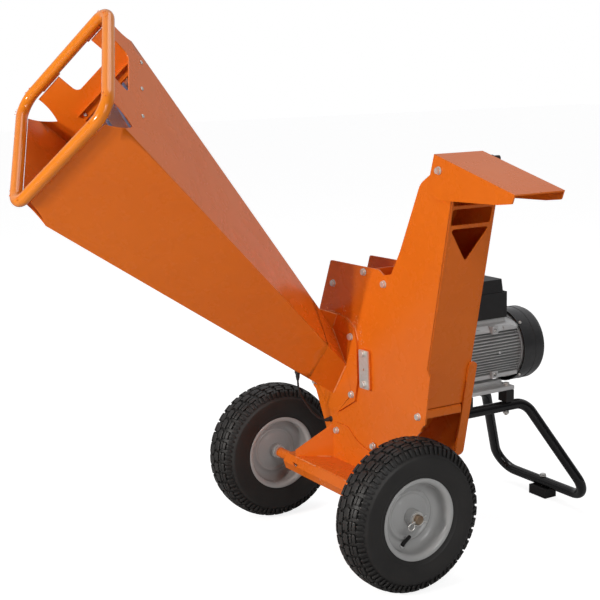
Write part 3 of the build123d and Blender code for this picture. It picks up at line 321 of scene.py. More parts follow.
ORANGE = (0.80, 0.165, 0.010)
ORANGE_DEEP = (0.76, 0.150, 0.008)
orange = powder_coat("orange_powder_coat", ORANGE, ORANGE_DEEP, 0.24, dust=0.05, coat=0.06)
# The frame tube's copy of the orange paint is paler and yellower: painted light, for the brighter light on the tube.
tube_paint_painted_light = powder_coat("orange_tube_paint_painted_light", (0.86, 0.25, 0.018), (0.82, 0.22, 0.014), 0.14, dust=0.02,
                         coat=0.28)
# The welds are painted orange like the body, but this copy is paler: a painted highlight on the beads.
weld_paint_painted_highlight = powder_coat("orange_weld_paint_painted_highlight", (0.86, 0.30, 0.10), (0.84, 0.22, 0.05), 0.16, dust=0.1, coat=0.5)
black = powder_coat("black_powder_coat", (0.010, 0.010, 0.011), (0.007, 0.007, 0.008), 0.16, dust=0.03,
                    coat=0.3)
rim_grey = powder_coat("grey_rim_paint", (0.50, 0.50, 0.495), (0.43, 0.43, 0.425), 0.22, dust=0.08, coat=0.4)
zinc = plated_steel("zinc_plate", (0.86, 0.86, 0.85))
steel = machined("bare_steel", (0.58, 0.57, 0.56))
axle_steel = machined("rusty_axle_steel", (0.36, 0.28, 0.20), 0.4, 0.9)
knife_steel = machined("knife_steel", (0.55, 0.56, 0.58), 0.22, 0.2)
aluminium = cast_metal("cast_aluminium", (0.78, 0.78, 0.775))
plastic = moulded("black_plastic", (0.021, 0.021, 0.0215))
glossy_plastic = moulded("glossy_black_plastic", (0.04, 0.04, 0.041), 0.13, 0.1)
rubber = rubber_compound("black_rubber", (0.013, 0.012, 0.012))
tyre_rubber = rubber_compound("tyre_rubber", (0.0135, 0.0125, 0.012), 0.7, 0.46)
green = moulded("green_button", (0.02, 0.30, 0.07), 0.25, 0.2)
red = moulded("red_button", (0.55, 0.02, 0.015), 0.25, 0.2)
pvc = clear_sheet("clear_pvc", (0.86, 0.90, 0.98), (0.74, 0.79, 0.90), 0.95, 0.05)
# A dark, nearly opaque copy of the PVC for the strips' edge bands: painted shade along each strip's edges.
pvc_painted_edge_shade = clear_sheet("clear_pvc_painted_edge_shade", (0.10, 0.115, 0.20), (0.18, 0.19, 0.29), 0.12, 0.12)

SLOT_MATERIALS = {
    "orange_paint": orange,
    "black_paint": black,
    "grey_paint": rim_grey,
    "zinc": zinc,
    "steel": steel,
    "tool_steel": knife_steel,
    "cast_aluminium": aluminium,
    "black_plastic": plastic,
    "black_rubber": rubber,
    "tyre": tyre_rubber,
    "clear_pvc": pvc,
    "green_plastic": green,
    "red_plastic": red,
}

# ---------------------------------------------------------------- CAD parts: material and soft edges

WELD_DISTANCE = 0.00002
COMMON_EDGE_WIDTH = 0.5      # millimetres, as in the table below
EDGE_WIDTH = {"hood": 1.2, "chute_funnel": 0.7, "chute_neck": 1.0, "switch_box": 3.0, "switch_box_lid": 4.5,
              "chute_flange": 0.8, "stand_foot": 2.0, "motor_spacers": 1.0, "motor_foot_plate": 1.2,
              "rear_upright": 1.5, "motor_end_shields": 1.0, "hood_lock_knob": 2.0, "curtain_battens": 0.8}
# The chute's tube frame takes the paler copy of the orange paint: painted light.
OWN_MATERIAL = {"axle": axle_steel, "fan_cowl": glossy_plastic, "chute_handle_frame": tube_paint_painted_light}


def soften_edges(item, width, angle):
    """Round an object's edges that are sharper than an angle in degrees."""
    edge = item.modifiers.new("soft_edges", "BEVEL")
    edge.width = width
    edge.segments = 2
    edge.limit_method = "ANGLE"
    edge.angle_limit = math.radians(angle)
    edge.harden_normals = True
    edge.use_clamp_overlap = True


def dress_cad_nodes():
    """Give every CAD node its material, smooth faces and small rounded edges."""
    for part in record["subparts"]:
        name = part["node"]
        data = nodes[name].data
        data.materials.clear()
        data.materials.append(OWN_MATERIAL.get(name, SLOT_MATERIALS[part["material_slot"]]))
        if "custom_normal" in data.attributes:
            data.attributes.remove(data.attributes["custom_normal"])
        data.shade_smooth()
        nodes[name].modifiers.new("weld", "WELD").merge_threshold = WELD_DISTANCE
        soften_edges(nodes[name], EDGE_WIDTH.get(name, COMMON_EDGE_WIDTH) * MM, 32)


dress_cad_nodes()

# ---------------------------------------------------------------- mesh building


def turns(count):
    """Angles in equal steps round a circle."""
    return [2 * math.pi * i / count for i in range(count)]


def blend(a, b, t):
    return a + (b - a) * t


def smooth(points, steps=4):
    """A Catmull-Rom line through the points, which are tuples or vectors."""
    points = [Vector(p) for p in points]
    line = []
    for i in range(len(points) - 1):
        a, b = points[i], points[i + 1]
        before = points[i - 1] if i else a
        after = points[i + 2] if i + 2 < len(points) else b
        for k in range(steps):
            t = k / steps
            line.append(0.5 * (2 * a + (b - before) * t + (2 * before - 5 * a + 4 * b - after) * t * t
                               + (3 * a - before - 3 * b + after) * t ** 3))
    return line + [points[-1]]


def evenly(path, step):
    """Points along straight runs of a path, about step apart."""
    line = []
    for a, b in zip(path, path[1:]):
        count = max(1, round((b - a).length / step))
        line += [blend(a, b, k / count) for k in range(count)]
    return line + [path[-1]]


def axes_along(path):
    """Two cross-section axes at each point of a path, turning as little as they can."""
    side = None
    axes = []
    for i in range(len(path)):
        along = (path[min(i + 1, len(path) - 1)] - path[max(i - 1, 0)]).normalized()
        side = along.orthogonal() if side is None else side
        side = (side - along * side.dot(along)).normalized()
        axes.append((side, along.cross(side)))
    return axes


FINE_EDGE = 0.0002

# Profiles of (distance along the axis, radius). A washer's and a droplet's unit is the radius of the bolt or droplet;
# a pan head's are its height and its radius. A weld's ripple is its width at the points of one pitch.
WASHER = ((0, 0.9), (0, 2.02), (0.08, 2.1), (0.32, 2.1), (0.4, 2.02), (0.4, 0.9))
PAN_HEAD = ((0, 1), (0.35, 1), (0.75, 0.86), (1, 0.6), (1, 0.42), (0.45, 0.38), (0.45, 0))
DROPLET = ((-0.2, 1), (0.4, 0.9), (0.8, 0.5), (0.95, 0))
RIPPLE = (0.80, 1.0, 1.04, 0.95)


class Builder:
    """Vertices and faces of one mesh, gathered part by part."""

    def __init__(self):
        self.points = []
        self.faces = []
        self.slots = []

    def skin(self, rows, loop=False):
        """A skin over closed rows of points: loop joins the last row to the first, else both ends are capped."""
        base = len(self.points)
        count = len(rows[0])
        faces = []
        for i in range(len(rows) if loop else len(rows) - 1):
            a, b = base + i * count, base + (i + 1) % len(rows) * count
            for j in range(count):
                k = (j + 1) % count
                faces.append((a + j, a + k, b + k, b + j))
        if not loop:
            last = base + (len(rows) - 1) * count
            faces.append(tuple(reversed(range(base, base + count))))
            faces.append(tuple(range(last, last + count)))
        self.points.extend(p for row in rows for p in row)
        self.faces.extend(faces)
        self.slots.extend([0] * len(faces))

    def tube(self, path, radius, sides):
        """A round tube along a path; radius is a number or one for each point."""
        rows = []
        for i, (place, (u, v)) in enumerate(zip(path, axes_along(path))):
            r = radius[i] if hasattr(radius, "__len__") else radius
            rows.append([place + (u * math.cos(a) + v * math.sin(a)) * r for a in turns(sides)])
        self.skin(rows)

    def lathe(self, profile, origin, axis, steps, scale=MM, loop=False):
        """Turn a profile of (distance along the axis, radius) round the axis; scale is its unit in metres."""
        u = axis.orthogonal().normalized()
        v = axis.cross(u)
        spokes = [u * math.cos(a) + v * math.sin(a) for a in turns(steps)]
        self.skin([[origin + axis * (along * scale) + spoke * (radius * scale) for spoke in spokes]
                   for along, radius in profile], loop)

    def box(self, centre, size):
        corners = [centre + Vector((sx * size[0], sy * size[1], sz * size[2])) / 2
                   for sz in (-1, 1) for sx, sy in ((-1, -1), (1, -1), (1, 1), (-1, 1))]
        self.skin([corners[:4], corners[4:]])

    def hex_prism(self, base, axis, across, height):
        """A hexagon head or nut with its corners turned off, standing on base."""
        u = axis.orthogonal().normalized()
        v = axis.cross(u)
        apothem = across / 2
        rim = apothem * 0.95
        rows = [[] for _ in range(5)]
        for a in turns(36):
            reach = apothem / math.cos(a % (math.pi / 3) - math.pi / 6)
            out = u * math.cos(a) + v * math.sin(a)
            drop = (reach - rim) * 0.6
            levels = ((reach, 0), (reach, height - drop), (rim, height), (rim * 0.78, height - rim * 0.04),
                      (0, height - rim * 0.06))
            for row, (radius, level) in zip(rows, levels):
                row.append(base + out * radius + axis * level)
        self.skin(rows)

    def bolt(self, place, axis, radius, shank):
        """A hex bolt head on its washer; place is where the washer rests."""
        self.lathe(WASHER, place, axis, 36, scale=radius, loop=True)
        self.hex_prism(place + axis * radius * 0.4, axis, radius * 3.25, radius * 1.35)
        self.lathe([(-shank, radius * 0.95), (radius * 0.4, radius * 0.95)], place, axis, 20, scale=1)

    def dome_screw(self, place, axis, radius, height):
        """A pan-head screw with a round socket; place is the middle of its underside."""
        self.lathe([(a * height, r * radius) for a, r in PAN_HEAD], place, axis, 24, scale=1)

    def weld(self, path, width, seed, pitch=0.0028):
        """A hand-laid weld bead: overlapping ripples of uneven width along a path of straight runs."""
        dice = random.Random(seed)
        path = evenly(path, pitch / len(RIPPLE))
        radius = []
        for i in range(len(path)):
            if i % len(RIPPLE) == 0:
                swell = dice.uniform(0.82, 1.12)
            radius.append(width * swell * RIPPLE[i % len(RIPPLE)])
        radius[0] = radius[-1] = width * 0.4
        self.tube(path, radius, 8)

    def spatter(self, centre, spread, normal, count, seed, size):
        """Weld droplets stuck to a surface round a point."""
        dice = random.Random(seed)
        u = normal.orthogonal().normalized()
        v = normal.cross(u)
        for _ in range(count):
            place = centre + u * dice.gauss(0, spread) + v * dice.gauss(0, spread)
            self.lathe(DROPLET, place, normal, 8, scale=size * dice.uniform(0.6, 1.5))

    def piece(self, name, body, materials, replaces=(), sharp=38.0, bevel=0.0):
        """Make the mesh object, give it its materials and let it ride on a body."""
        mesh = bpy.data.meshes.new(name)
        mesh.from_pydata(self.points, [], self.faces)
        for material in materials:
            mesh.materials.append(material)
        mesh.polygons.foreach_set("material_index", self.slots)
        work = bmesh.new()
        work.from_mesh(mesh)
        bmesh.ops.remove_doubles(work, verts=work.verts, dist=1e-6)
        bmesh.ops.recalc_face_normals(work, faces=work.faces)
        work.to_mesh(mesh)
        work.free()
        mesh.shade_smooth()
        mesh.set_sharp_from_angle(angle=math.radians(sharp))
        made = bpy.data.objects.new(name, mesh)
        bpy.context.scene.collection.objects.link(made)
        if bevel:
            soften_edges(made, bevel, 35)
        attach(made, body)
        if replaces:
            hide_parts(*replaces)
        return made


def solids(node):
    """The separate solids of a CAD node, each as an array of points."""
    work = bmesh.new()
    work.from_mesh(nodes[node].data)
    bmesh.ops.remove_doubles(work, verts=work.verts, dist=WELD_DISTANCE)
    seen = set()
    found = []
    for start in work.verts:
        if start in seen:
            continue
        seen.add(start)
        stack = [start]
        points = []
        while stack:
            here = stack.pop()
            points.append(here.co.copy())
            for edge in here.link_edges:
                other = edge.other_vert(here)
                if other not in seen:
                    seen.add(other)
                    stack.append(other)
        found.append(np.array(points))
    work.free()
    return found


def rod_of(points, longest):
    """Centre, axis and length of a round rod or disc; longest says whether its axis is its longest side."""
    centre = points.mean(0)
    _, vectors = np.linalg.eigh(np.cov((points - centre).T))
    axis = vectors[:, 2 if longest else 0]
    reach = (points - centre) @ axis
    return Vector(centre), Vector(axis), float(reach.max() - reach.min())


def pointing(axis, towards):
    """The axis, turned round if it points away from a direction."""
    return axis if axis.dot(towards) > 0 else -axis


# ---------------------------------------------------------------- the safety switch's lead

LEAD_DIAMETER = 0.0046
LEAD_ROUTE = [at(-92, -38, 386), at(-95, -36, 356), at(-111, -8, 322), at(-108, 20, 280), at(-103, 42, 273)]
GLAND = [(-4, 0), (-4, 6.9), (1, 7), (2, 6.6), (2.5, 5.4), (9, 4.6), (9.3, 5.0), (10.2, 5.0), (10.5, 4.4),
         (12, 4.2), (12.3, 4.6), (13.2, 4.6), (13.5, 3.9), (18, 3.2), (18.4, 2.2), (18, 2.0)]
GLANDS = ((at(-92, -38, 402), -Z), (at(-103, 58, 273), -Y))


def make_lead():
    """The lead from the chute's switch to the housing, with a gland at each end."""
    curve = bpy.data.curves.new("safety_lead_cord", "CURVE")
    curve.dimensions = "3D"
    spline = curve.splines.new("NURBS")
    spline.points.add(len(LEAD_ROUTE) - 1)
    for point, place in zip(spline.points, LEAD_ROUTE):
        point.co = (*place, 1)
    spline.order_u = 3
    spline.use_endpoint_u = True
    curve.resolution_u = 16
    curve.bevel_depth = LEAD_DIAMETER / 2
    curve.bevel_resolution = 5
    curve.use_fill_caps = True
    curve.materials.append(rubber)
    lead = bpy.data.objects.new("safety_lead_cord", curve)
    bpy.context.scene.collection.objects.link(lead)
    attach(lead, "machine")
    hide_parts("safety_lead")
    glands = Builder()
    for place, axis in GLANDS:
        glands.lathe(GLAND, place, axis, 32)
    glands.piece("lead_strain_reliefs", "machine", [plastic], ["lead_glands"], bevel=FINE_EDGE)


make_lead()

# ---------------------------------------------------------------- bolts and screws

BOLT_R = 4 * MM
HEAD_RISE = 7.1 * MM         # from the washer's seat to the top of the head, in CAD
NUT_ACROSS = 13 * MM


def make_bolts():
    """Every hex bolt, at the place and with the length of its CAD solid."""
    heads = Builder()
    for points in solids("housing_bolts"):
        low, high = Vector(points.min(0)), Vector(points.max(0))
        centre = (low + high) / 2
        seat = Vector((centre.x, low.y + HEAD_RISE, centre.z))
        heads.bolt(seat, -Y, BOLT_R, high.y - seat.y + 7 * MM)
        heads.hex_prism(Vector((centre.x, high.y + 0.3 * MM, centre.z)), Y, NUT_ACROSS, 6 * MM)
    heads.piece("housing_bolt_heads", "machine", [zinc], ["housing_bolts"], bevel=FINE_EDGE)

    stand = Builder()
    for points in solids("stand_bolts"):
        low, high = Vector(points.min(0)), Vector(points.max(0))
        centre = (low + high) / 2
        seat = Vector((centre.x, centre.y, high.z - HEAD_RISE))
        stand.bolt(seat, Z, BOLT_R, seat.z - low.z)
        holds_foot = centre.z < AXLE.z
        if not holds_foot:
            stand.hex_prism(Vector((centre.x, centre.y, low.z + 10 * MM)), -Z, NUT_ACROSS, 6.5 * MM)
    stand.piece("stand_bolt_heads", "machine", [zinc], ["stand_bolts"], bevel=FINE_EDGE)


def make_screws():
    """The pan-head screws of the battens, each facing away from its partner, and of the motor, facing outwards."""
    small = Builder()
    ends = [rod_of(points, False) for points in solids("batten_screws")]
    for centre, axis, thick in ends:
        others = [end[0] for end in ends if end[0] is not centre]
        partner = min(others, key=lambda other: (other - centre).length)
        axis = pointing(axis, centre - partner)
        small.dome_screw(centre - axis * thick / 2, axis, 4.5 * MM, thick)
    small.piece("batten_screw_heads", "machine", [zinc], ["batten_screws"])

    motor = Builder()
    for points in solids("motor_screws"):
        centre, axis, thick = rod_of(points, False)
        axis = pointing(axis, centre - Vector((SHAFT.x, centre.y, SHAFT.z)))
        motor.dome_screw(centre - axis * thick / 2, axis, 4.0 * MM, thick)
    motor.piece("motor_screw_heads", "machine", [zinc], ["motor_screws"])


make_bolts()
make_screws()

# ---------------------------------------------------------------- wheels

# Sections are (x from the wheel's middle, radius) in millimetres; tread blocks are (distance round the profile from the
# crown, distance along the tread) in one pitch.
TYRE_R = 165
TYRE_LINE = [(0, TYRE_R), (12, 164.6), (27, 161.3), (39, 153.5), (45.5, 141), (47, 125), (45, 108), (41, 93),
             (38.4, 84)]
TYRE_INSIDE = [(33, 79.4), (27, 79.4), (31, 92), (38, 112), (39, 130), (34, 144), (22, 152), (0, 154)]
TYRE_MAX_X = 46.95       # the tyre stays inside its CAD solid
TYRE_MAX_R = 164.98
PITCHES = 38
TREAD_DEPTH = 4.5
CARCASS_END = 63.0       # distance round the profile at which the carcass under the tread has risen to the sidewall
CARCASS_RISE = 9
SIDEWALL_RINGS = (70, 98, 110)
SHOULDER_START = 44      # where the blocks begin to drop towards the sidewall, by 1.6 mm in 12 mm
SIDE_BLOCK_SHIFT = 5
BLOCK_LAYERS = ((1.07, -TREAD_DEPTH - 0.6), (1.0, -0.7), (0.985, -0.25), (0.94, 0.0), (0.5, 0.05), (0, 0.05))
CENTRE_BLOCK = [(2.4, 1.8), (6, 2.4), (9.5, 4.6), (13, 2.6), (16.4, 1.8), (17.6, 5), (16.2, 9), (17.8, 13),
                (16.2, 17), (17.4, 21), (16, 23.4), (13, 23.6), (9.5, 25.6), (6, 23.6), (2.4, 23), (1.2, 19),
                (2.6, 15), (1.0, 11), (2.6, 6)]
SIDE_BLOCKS = [
    [(20.6, 4), (22, 2.6), (26.6, 2.6), (27.4, 4), (26.6, 8), (27.6, 12), (26.6, 16), (27.4, 20), (26.4, 21.6),
     (22, 21.6), (20.6, 20), (21.8, 16), (20.4, 12), (21.8, 8)],
    [(28.8, 4), (30, 2.6), (34.6, 2.6), (36.2, 4), (36.4, 12), (36.2, 20), (34.6, 21.6), (30, 21.6), (28.8, 20),
     (28.0, 16), (29.0, 12), (28.0, 8)],
]
SHOULDER_BAR = [(38.8, 0.8), (40.2, 0), (47, 0), (53.5, 0.6), (55.6, 1.6), (56.2, 3), (55.6, 4.6), (53.5, 5.6),
                (47, 6.2), (40.2, 6.2), (38.8, 5.2), (38.2, 3)]
SHOULDER_STARTS = (3.2, 15.4)


def profile_table():
    """The tyre's outline as arrays: distance round it, x and radius."""
    line = smooth(TYRE_LINE, 8)
    steps = [0.0]
    for a, b in zip(line, line[1:]):
        steps.append(steps[-1] + (b - a).length)
    return np.array(steps), np.array([p[0] for p in line]), np.array([p[1] for p in line])


TYRE_S, TYRE_X, TYRE_RADIUS = profile_table()


def tyre_spot(s, lift):
    """x and radius of a point lift millimetres off the tyre's outline, s round it from the crown."""
    (x, r), (x1, r1), (x2, r2) = [(np.interp(place, TYRE_S, TYRE_X), np.interp(place, TYRE_S, TYRE_RADIUS))
                                  for place in (s, max(s - 1, 0), s + 1)]
    along = Vector((x2 - x1, r2 - r1)).normalized()
    return min(x - along.y * lift, TYRE_MAX_X), min(r + along.x * lift, TYRE_MAX_R)


def carcass_lift(s):
    """How far the carcass stands off the tyre's outline: below it under the tread, above it at the sidewall's rings."""
    if s > CARCASS_END:
        return sum(0.7 * math.exp(-((s - ring) / 1.2) ** 2) for ring in SIDEWALL_RINGS)
    return -TREAD_DEPTH * min(1.0, (CARCASS_END - s) / CARCASS_RISE)


def make_tyre(side):
    """A carcass turned from its section, with the tread's blocks on it."""
    centre = middle(f"{side}_tyre")
    rubber_mesh = Builder()
    reach = TYRE_S[-1]
    spots = [reach * i / 62 for i in range(63)]
    half = [tyre_spot(s, carcass_lift(s)) for s in spots]
    inner = [tuple(p) for p in smooth(TYRE_INSIDE, 3)]
    outline = list(reversed(half)) + [(-x, r) for x, r in half[1:]]
    outline += [(-x, r) for x, r in inner] + list(reversed(inner[:-1]))
    rubber_mesh.lathe(outline, centre, X, 4 * PITCHES, loop=True)

    def block(shape, hand, turn):
        mid_s = sum(p[0] for p in shape) / len(shape)
        mid_t = sum(p[1] for p in shape) / len(shape)
        rows = []
        for size, lift in BLOCK_LAYERS:
            row = []
            for s, t in shape:
                s, t = mid_s + (s - mid_s) * size, mid_t + (t - mid_t) * size
                lower = max(0.0, (s - SHOULDER_START) / 12 * 1.6)
                x, r = tyre_spot(s, lift - lower)
                a = turn + hand * t / TYRE_R
                row.append(centre + Vector((hand * x, r * math.sin(a), r * math.cos(a))) * MM)
            rows.append(row)
        rubber_mesh.skin(rows)

    for i in range(PITCHES):
        for hand in (-1, 1):
            turn = 2 * math.pi * (i + (0.5 if hand > 0 else 0)) / PITCHES
            block(CENTRE_BLOCK, hand, turn)
            for shape in SIDE_BLOCKS:
                block(shape, hand, turn + hand * SIDE_BLOCK_SHIFT / TYRE_R)
            for start in SHOULDER_STARTS:
                block([(s, t + start) for s, t in SHOULDER_BAR], hand, turn)
    rubber_mesh.piece(f"{side}_tyre_tread", f"{side}_wheel", [tyre_rubber], [f"{side}_tyre"], sharp=50)


RIM_DISH = [(38.6, 87.6), (39.4, 88.5), (40.6, 88.5), (41.4, 87.4), (41.3, 84), (40.2, 80.6), (37, 77.6), (32, 76.2),
            (24, 75.8), (16, 75.2), (10, 73.4), (6, 70.2), (3.8, 66), (3.2, 61), (4.2, 57), (6.6, 54), (7.8, 51.6),
            (7.0, 48.8), (5.4, 46.2), (5.4, 43), (7.2, 38), (9.0, 32), (10.2, 26), (11, 21), (11.2, 17)]
RIM_UNDER = [(8.6, 17), (7, 30), (3.6, 42), (2.8, 46), (4.8, 51), (3.4, 54.5), (0.2, 58), (0.2, 79), (34.5, 79),
             (38, 81.5), (38.7, 84)]
HUB_TUBE = [(-33, 14.1), (-33, 17), (-32.4, 17.5), (32.4, 17.5), (33, 17), (33, 14.1)]
# The pressed ring round the valve's hole and the valve, as (distance along the stem from its root, radius).
VALVE_RING = [(-1.5, 5.2), (0.6, 5.4), (1.3, 6.2), (0.9, 7.2), (-0.8, 8.2), (-2.5, 8.4)]
VALVE_RING_PLACE = 4.6
VALVE = [(0, 4.1), (6, 4.6), (8, 4.3), (24, 4.0), (25, 3.9), (25.4, 4.2), (33.4, 4.2), (34.4, 3.6), (34.5, 1.6),
         (33.4, 1.4), (33.4, 0)]


def make_rim(side):
    """A rim pressed from two dished halves with a hub tube, and its valve."""
    centre = middle(f"{side}_rim")
    rim = Builder()
    for hand in (-1, 1):
        outline = [tuple(p) for p in smooth(RIM_DISH, 4)] + RIM_UNDER
        rim.lathe([(hand * x, r) for x, r in outline], centre, X, 96, loop=True)
    rim.lathe(HUB_TUBE, centre, X, 48, loop=True)
    stem_middle, stem_axis, length = rod_of(solids(f"{side}_valve_stem")[0], True)
    stem_axis = pointing(stem_axis, centre - stem_middle)
    root = stem_middle - stem_axis * length / 2
    rim.lathe(VALVE_RING, root + stem_axis * VALVE_RING_PLACE * MM, stem_axis, 32, loop=True)
    rim.piece(f"{side}_rim_pressings", f"{side}_wheel", [rim_grey], [f"{side}_rim"], sharp=50)
    stem = Builder()
    stem.lathe(VALVE, root, stem_axis, 28)
    stem.piece(f"{side}_valve", f"{side}_wheel", [rubber], [f"{side}_valve_stem"])


for side in ("left", "right"):
    make_tyre(side)
    make_rim(side)

CLIP_TILT = math.atan2(0.2419, 0.9703)      # the clip's slope, as in CAD
CLIP_X = 317.5 * MM
CLIP_EYE = [(-21 - 7.4 * math.sin(a), 7.8 - 7.2 * math.cos(a)) for a in (0.4, 0.9, 1.5, 2.1, 2.7, 3.3, 3.9, 4.5)]
CLIP_LINE = [(20, 0), (0, 0), (-15, 0.2), (-20, 0.6), *CLIP_EYE, (-12.5, 6.2), (-10, 8.4), (-5, 11.4), (1, 12.4),
             (6.5, 10.9), (9.6, 8.6), (12, 9.2), (18, 14.5)]
WIRE_R = 1.45 * MM


def make_clips():
    """Hairpin clips: a straight leg through the axle, a round eye and a leg that hugs the axle."""
    wire = Builder()
    for hand in (-1, 1):
        centre = Vector((hand * CLIP_X, AXLE.y, AXLE.z))
        path = []
        for along, below in smooth(CLIP_LINE):
            place = Y * (along * math.cos(CLIP_TILT) + below * math.sin(CLIP_TILT))
            place += Z * (along * math.sin(CLIP_TILT) - below * math.cos(CLIP_TILT))
            path.append(centre + place * MM)
        wire.tube(path, WIRE_R, 10)
    wire.piece("axle_hairpin_clips", "machine", [zinc], ["axle_clips"])


make_clips()

# ---------------------------------------------------------------- motor

FINS = 14
FIN_GAP = 7.0
FIN_TIP_R = 79.5
FIN_ROOT_R = 67.0
LUG_RISES = ((-50, 17), (57, 18))        # (height of a lug's middle above the shaft, its own height)
LUG_PLACES = (236, 408)
LUG_RING = [(0, 6.2), (0.9, 6.0), (0.9, 4.4), (0.2, 4.2), (0.2, 6.0)]
# A black disc just inside each lug's hole: painted shade for the hole.
LUG_HOLE_SHADE_DISC = [(-2, 3.9), (0.5, 3.9), (0.5, 0)]
PIN = [(0, 4.2), (6.2, 3.6), (6.6, 2.6), (6.6, 0)]
PEDESTAL = [(-42, 60), (42, 60), (46, 66), (43, 78.5), (-43, 78.5), (-46, 66)]
COWL_RING = [(-1.6, 88.6), (-0.8, 89.5), (0.8, 89.5), (1.6, 88.6)]
COWL_LIP = [(0, 87.6), (0, 89.3), (1.4, 89.6), (2.6, 89.2), (2.6, 87.6)]


def fin_outline():
    """The finned body's section, as (x, z) from the shaft in millimetres, going round once."""
    right = [(30, 72), (56, 66), (66, 56.5), (66, 51)]
    for i in range(FINS):
        z = (FINS - 1) * FIN_GAP / 2 - i * FIN_GAP
        tip = math.sqrt(FIN_TIP_R ** 2 - z * z)
        root = math.sqrt(FIN_ROOT_R ** 2 - z * z)
        right += [(root, z + 1.6), (tip - 0.7, z + 0.95), (tip, z + 0.3), (tip, z - 0.3), (tip - 0.7, z - 0.95),
                  (root, z - 1.6)]
    right += [(66, -51), (66, -60), (50, -66), (30, -66)]
    return right + [(-x, z) for x, z in reversed(right)]


def by_shaft(x, y, rise):
    """A point with its x and y as for at(), and its height given from the shaft."""
    return at(x, y, 0) + Z * (SHAFT.z + rise * MM)


def make_motor_body():
    """The cast body: fins, bolt lugs, bosses, pins and the pedestal under the switch box."""
    body = Builder()
    low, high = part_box("motor_housing")
    outline = fin_outline()
    rows = []
    for y, shrink in ((low.y, 0.985), (low.y + 1.5 * MM, 1), (high.y - 1.5 * MM, 1), (high.y, 0.985)):
        rows.append([Vector((SHAFT.x + x * shrink * MM, y, SHAFT.z + z * shrink * MM)) for x, z in outline])
    body.skin(rows)
    for hand in (-1, 1):
        for rise, tall in LUG_RISES:
            for y in LUG_PLACES:
                lug = by_shaft(hand * 64, y, rise)
                body.box(lug, (20 * MM, 17 * MM, tall * MM))
                body.lathe(LUG_RING, lug + X * hand * 10 * MM, X * hand, 28, loop=True)
        for y in (300, 352, 455):
            body.box(by_shaft(hand * 60, y, 57), (14 * MM, 30 * MM, 9 * MM))
        for y, rise in ((330, -4), (418, 3)):
            body.lathe(PIN, by_shaft(hand * 73, y, rise), X * hand, 16)
    body.skin([[by_shaft(x, y, rise) for x, rise in PEDESTAL] for y in (346, 462)])
    body.piece("motor_finned_body", "machine", [aluminium], ["motor_housing"], sharp=30,
               bevel=0.0005)


def make_motor_details():
    """Black discs in the lugs' holes as painted shade, and the raised rings round the fan cowl."""
    hole_shade_discs = Builder()
    for hand in (-1, 1):
        for rise, _ in LUG_RISES:
            for y in LUG_PLACES:
                hole_shade_discs.lathe(LUG_HOLE_SHADE_DISC, by_shaft(hand * 74, y, rise), X * hand, 24)
    hole_shade_discs.piece("motor_lug_hole_shade_discs", "machine", [plastic])

    low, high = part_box("fan_cowl")
    trim = Builder()
    for profile, y in ((COWL_RING, blend(low.y, high.y, 0.52)), (COWL_LIP, low.y)):
        trim.lathe(profile, Vector((SHAFT.x, y, SHAFT.z)), Y, 128, loop=True)
    trim.piece("fan_cowl_rings", "machine", [glossy_plastic])


make_motor_body()
make_motor_details()

# ---------------------------------------------------------------- chute: welds, drips and curtain

CHUTE_X = middle("chute_flange").x / MM
FLANGE_FRONT = (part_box("chute_flange")[0].y - AXLE.y) / MM
THROAT_Z = (341, 498)
THROAT_HALF = 56
RIDGE = (FLANGE_FRONT - 34, THROAT_Z[1] + 47)
PLATE_FRONT = 57.6
# Droplets on the housing's plate: x, z, spread and count.
PLATE_SPATTER = ((6, 520, 9, 26), (24, 498, 8, 22), (30, 478, 7, 12), (-40, 545, 8, 10), (-110, 545, 9, 8))


def make_chute_welds():
    """Beads round the throat, on the closing plates, along the flange and under the axle's brackets."""
    beads = Builder()
    front = FLANGE_FRONT
    throat_middle = sum(THROAT_Z) / 2
    corners = [at(CHUTE_X, front, THROAT_Z[1]), at(CHUTE_X + THROAT_HALF, front, throat_middle),
               at(CHUTE_X, front, THROAT_Z[0]), at(CHUTE_X - THROAT_HALF, front, throat_middle)]
    for i, width in enumerate((1.3, 2.3, 2.3, 1.3)):
        a, b = corners[i], corners[(i + 1) % 4]
        beads.weld([blend(a, b, 0.02), blend(a, b, 0.98)], width * MM, 11 + i)
    for hand in (-1, 1):
        ridge = at(CHUTE_X, *RIDGE)
        foot = at(CHUTE_X + hand * 21, front, THROAT_Z[1] + 34)
        beads.weld([ridge, foot], 1.1 * MM, 21 + hand, pitch=0.004)
        beads.weld([foot, at(CHUTE_X + hand * 4, front, THROAT_Z[1] + 4)], 1.3 * MM, 31 + hand)
    right_edge = [at(x, front + 6, z) for x, z in ((16, 483), (3.5, 512), (-28, 529))]
    beads.weld(right_edge, 1.5 * MM, 41)
    top_edge = [at(x, front + 6, z) for x, z in ((-78, 535), (-100, 534), (-134, 529))]
    beads.weld(top_edge, 1.4 * MM, 42)
    for x, z, spread, count in PLATE_SPATTER:
        beads.spatter(at(x, PLATE_FRONT, z), spread * MM, -Y, count, count, 1.0 * MM)
    bottom = Z * (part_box("axle_bracket")[0].z + 1 * MM)
    fold = Z * (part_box("axle_bracket")[0].z + 4 * MM)
    for hand in (-1, 1):
        beads.weld([at(hand * 148, -15, 0) + bottom, at(hand * 60, -15, 0) + bottom], 1.6 * MM, 51 + hand)
        beads.weld([at(hand * 92, 50, 0) + fold, at(hand * 146, -10, 0) + fold], 1.3 * MM, 61 + hand, pitch=0.0035)
    beads.spatter(at(-70, 54.5, 200), 12 * MM, -Y, 14, 71, 0.9 * MM)
    # The beads and droplets take the paler weld paint: painted highlight.
    beads.piece("chute_weld_beads", "machine", [weld_paint_painted_highlight], sharp=80)


make_chute_welds()

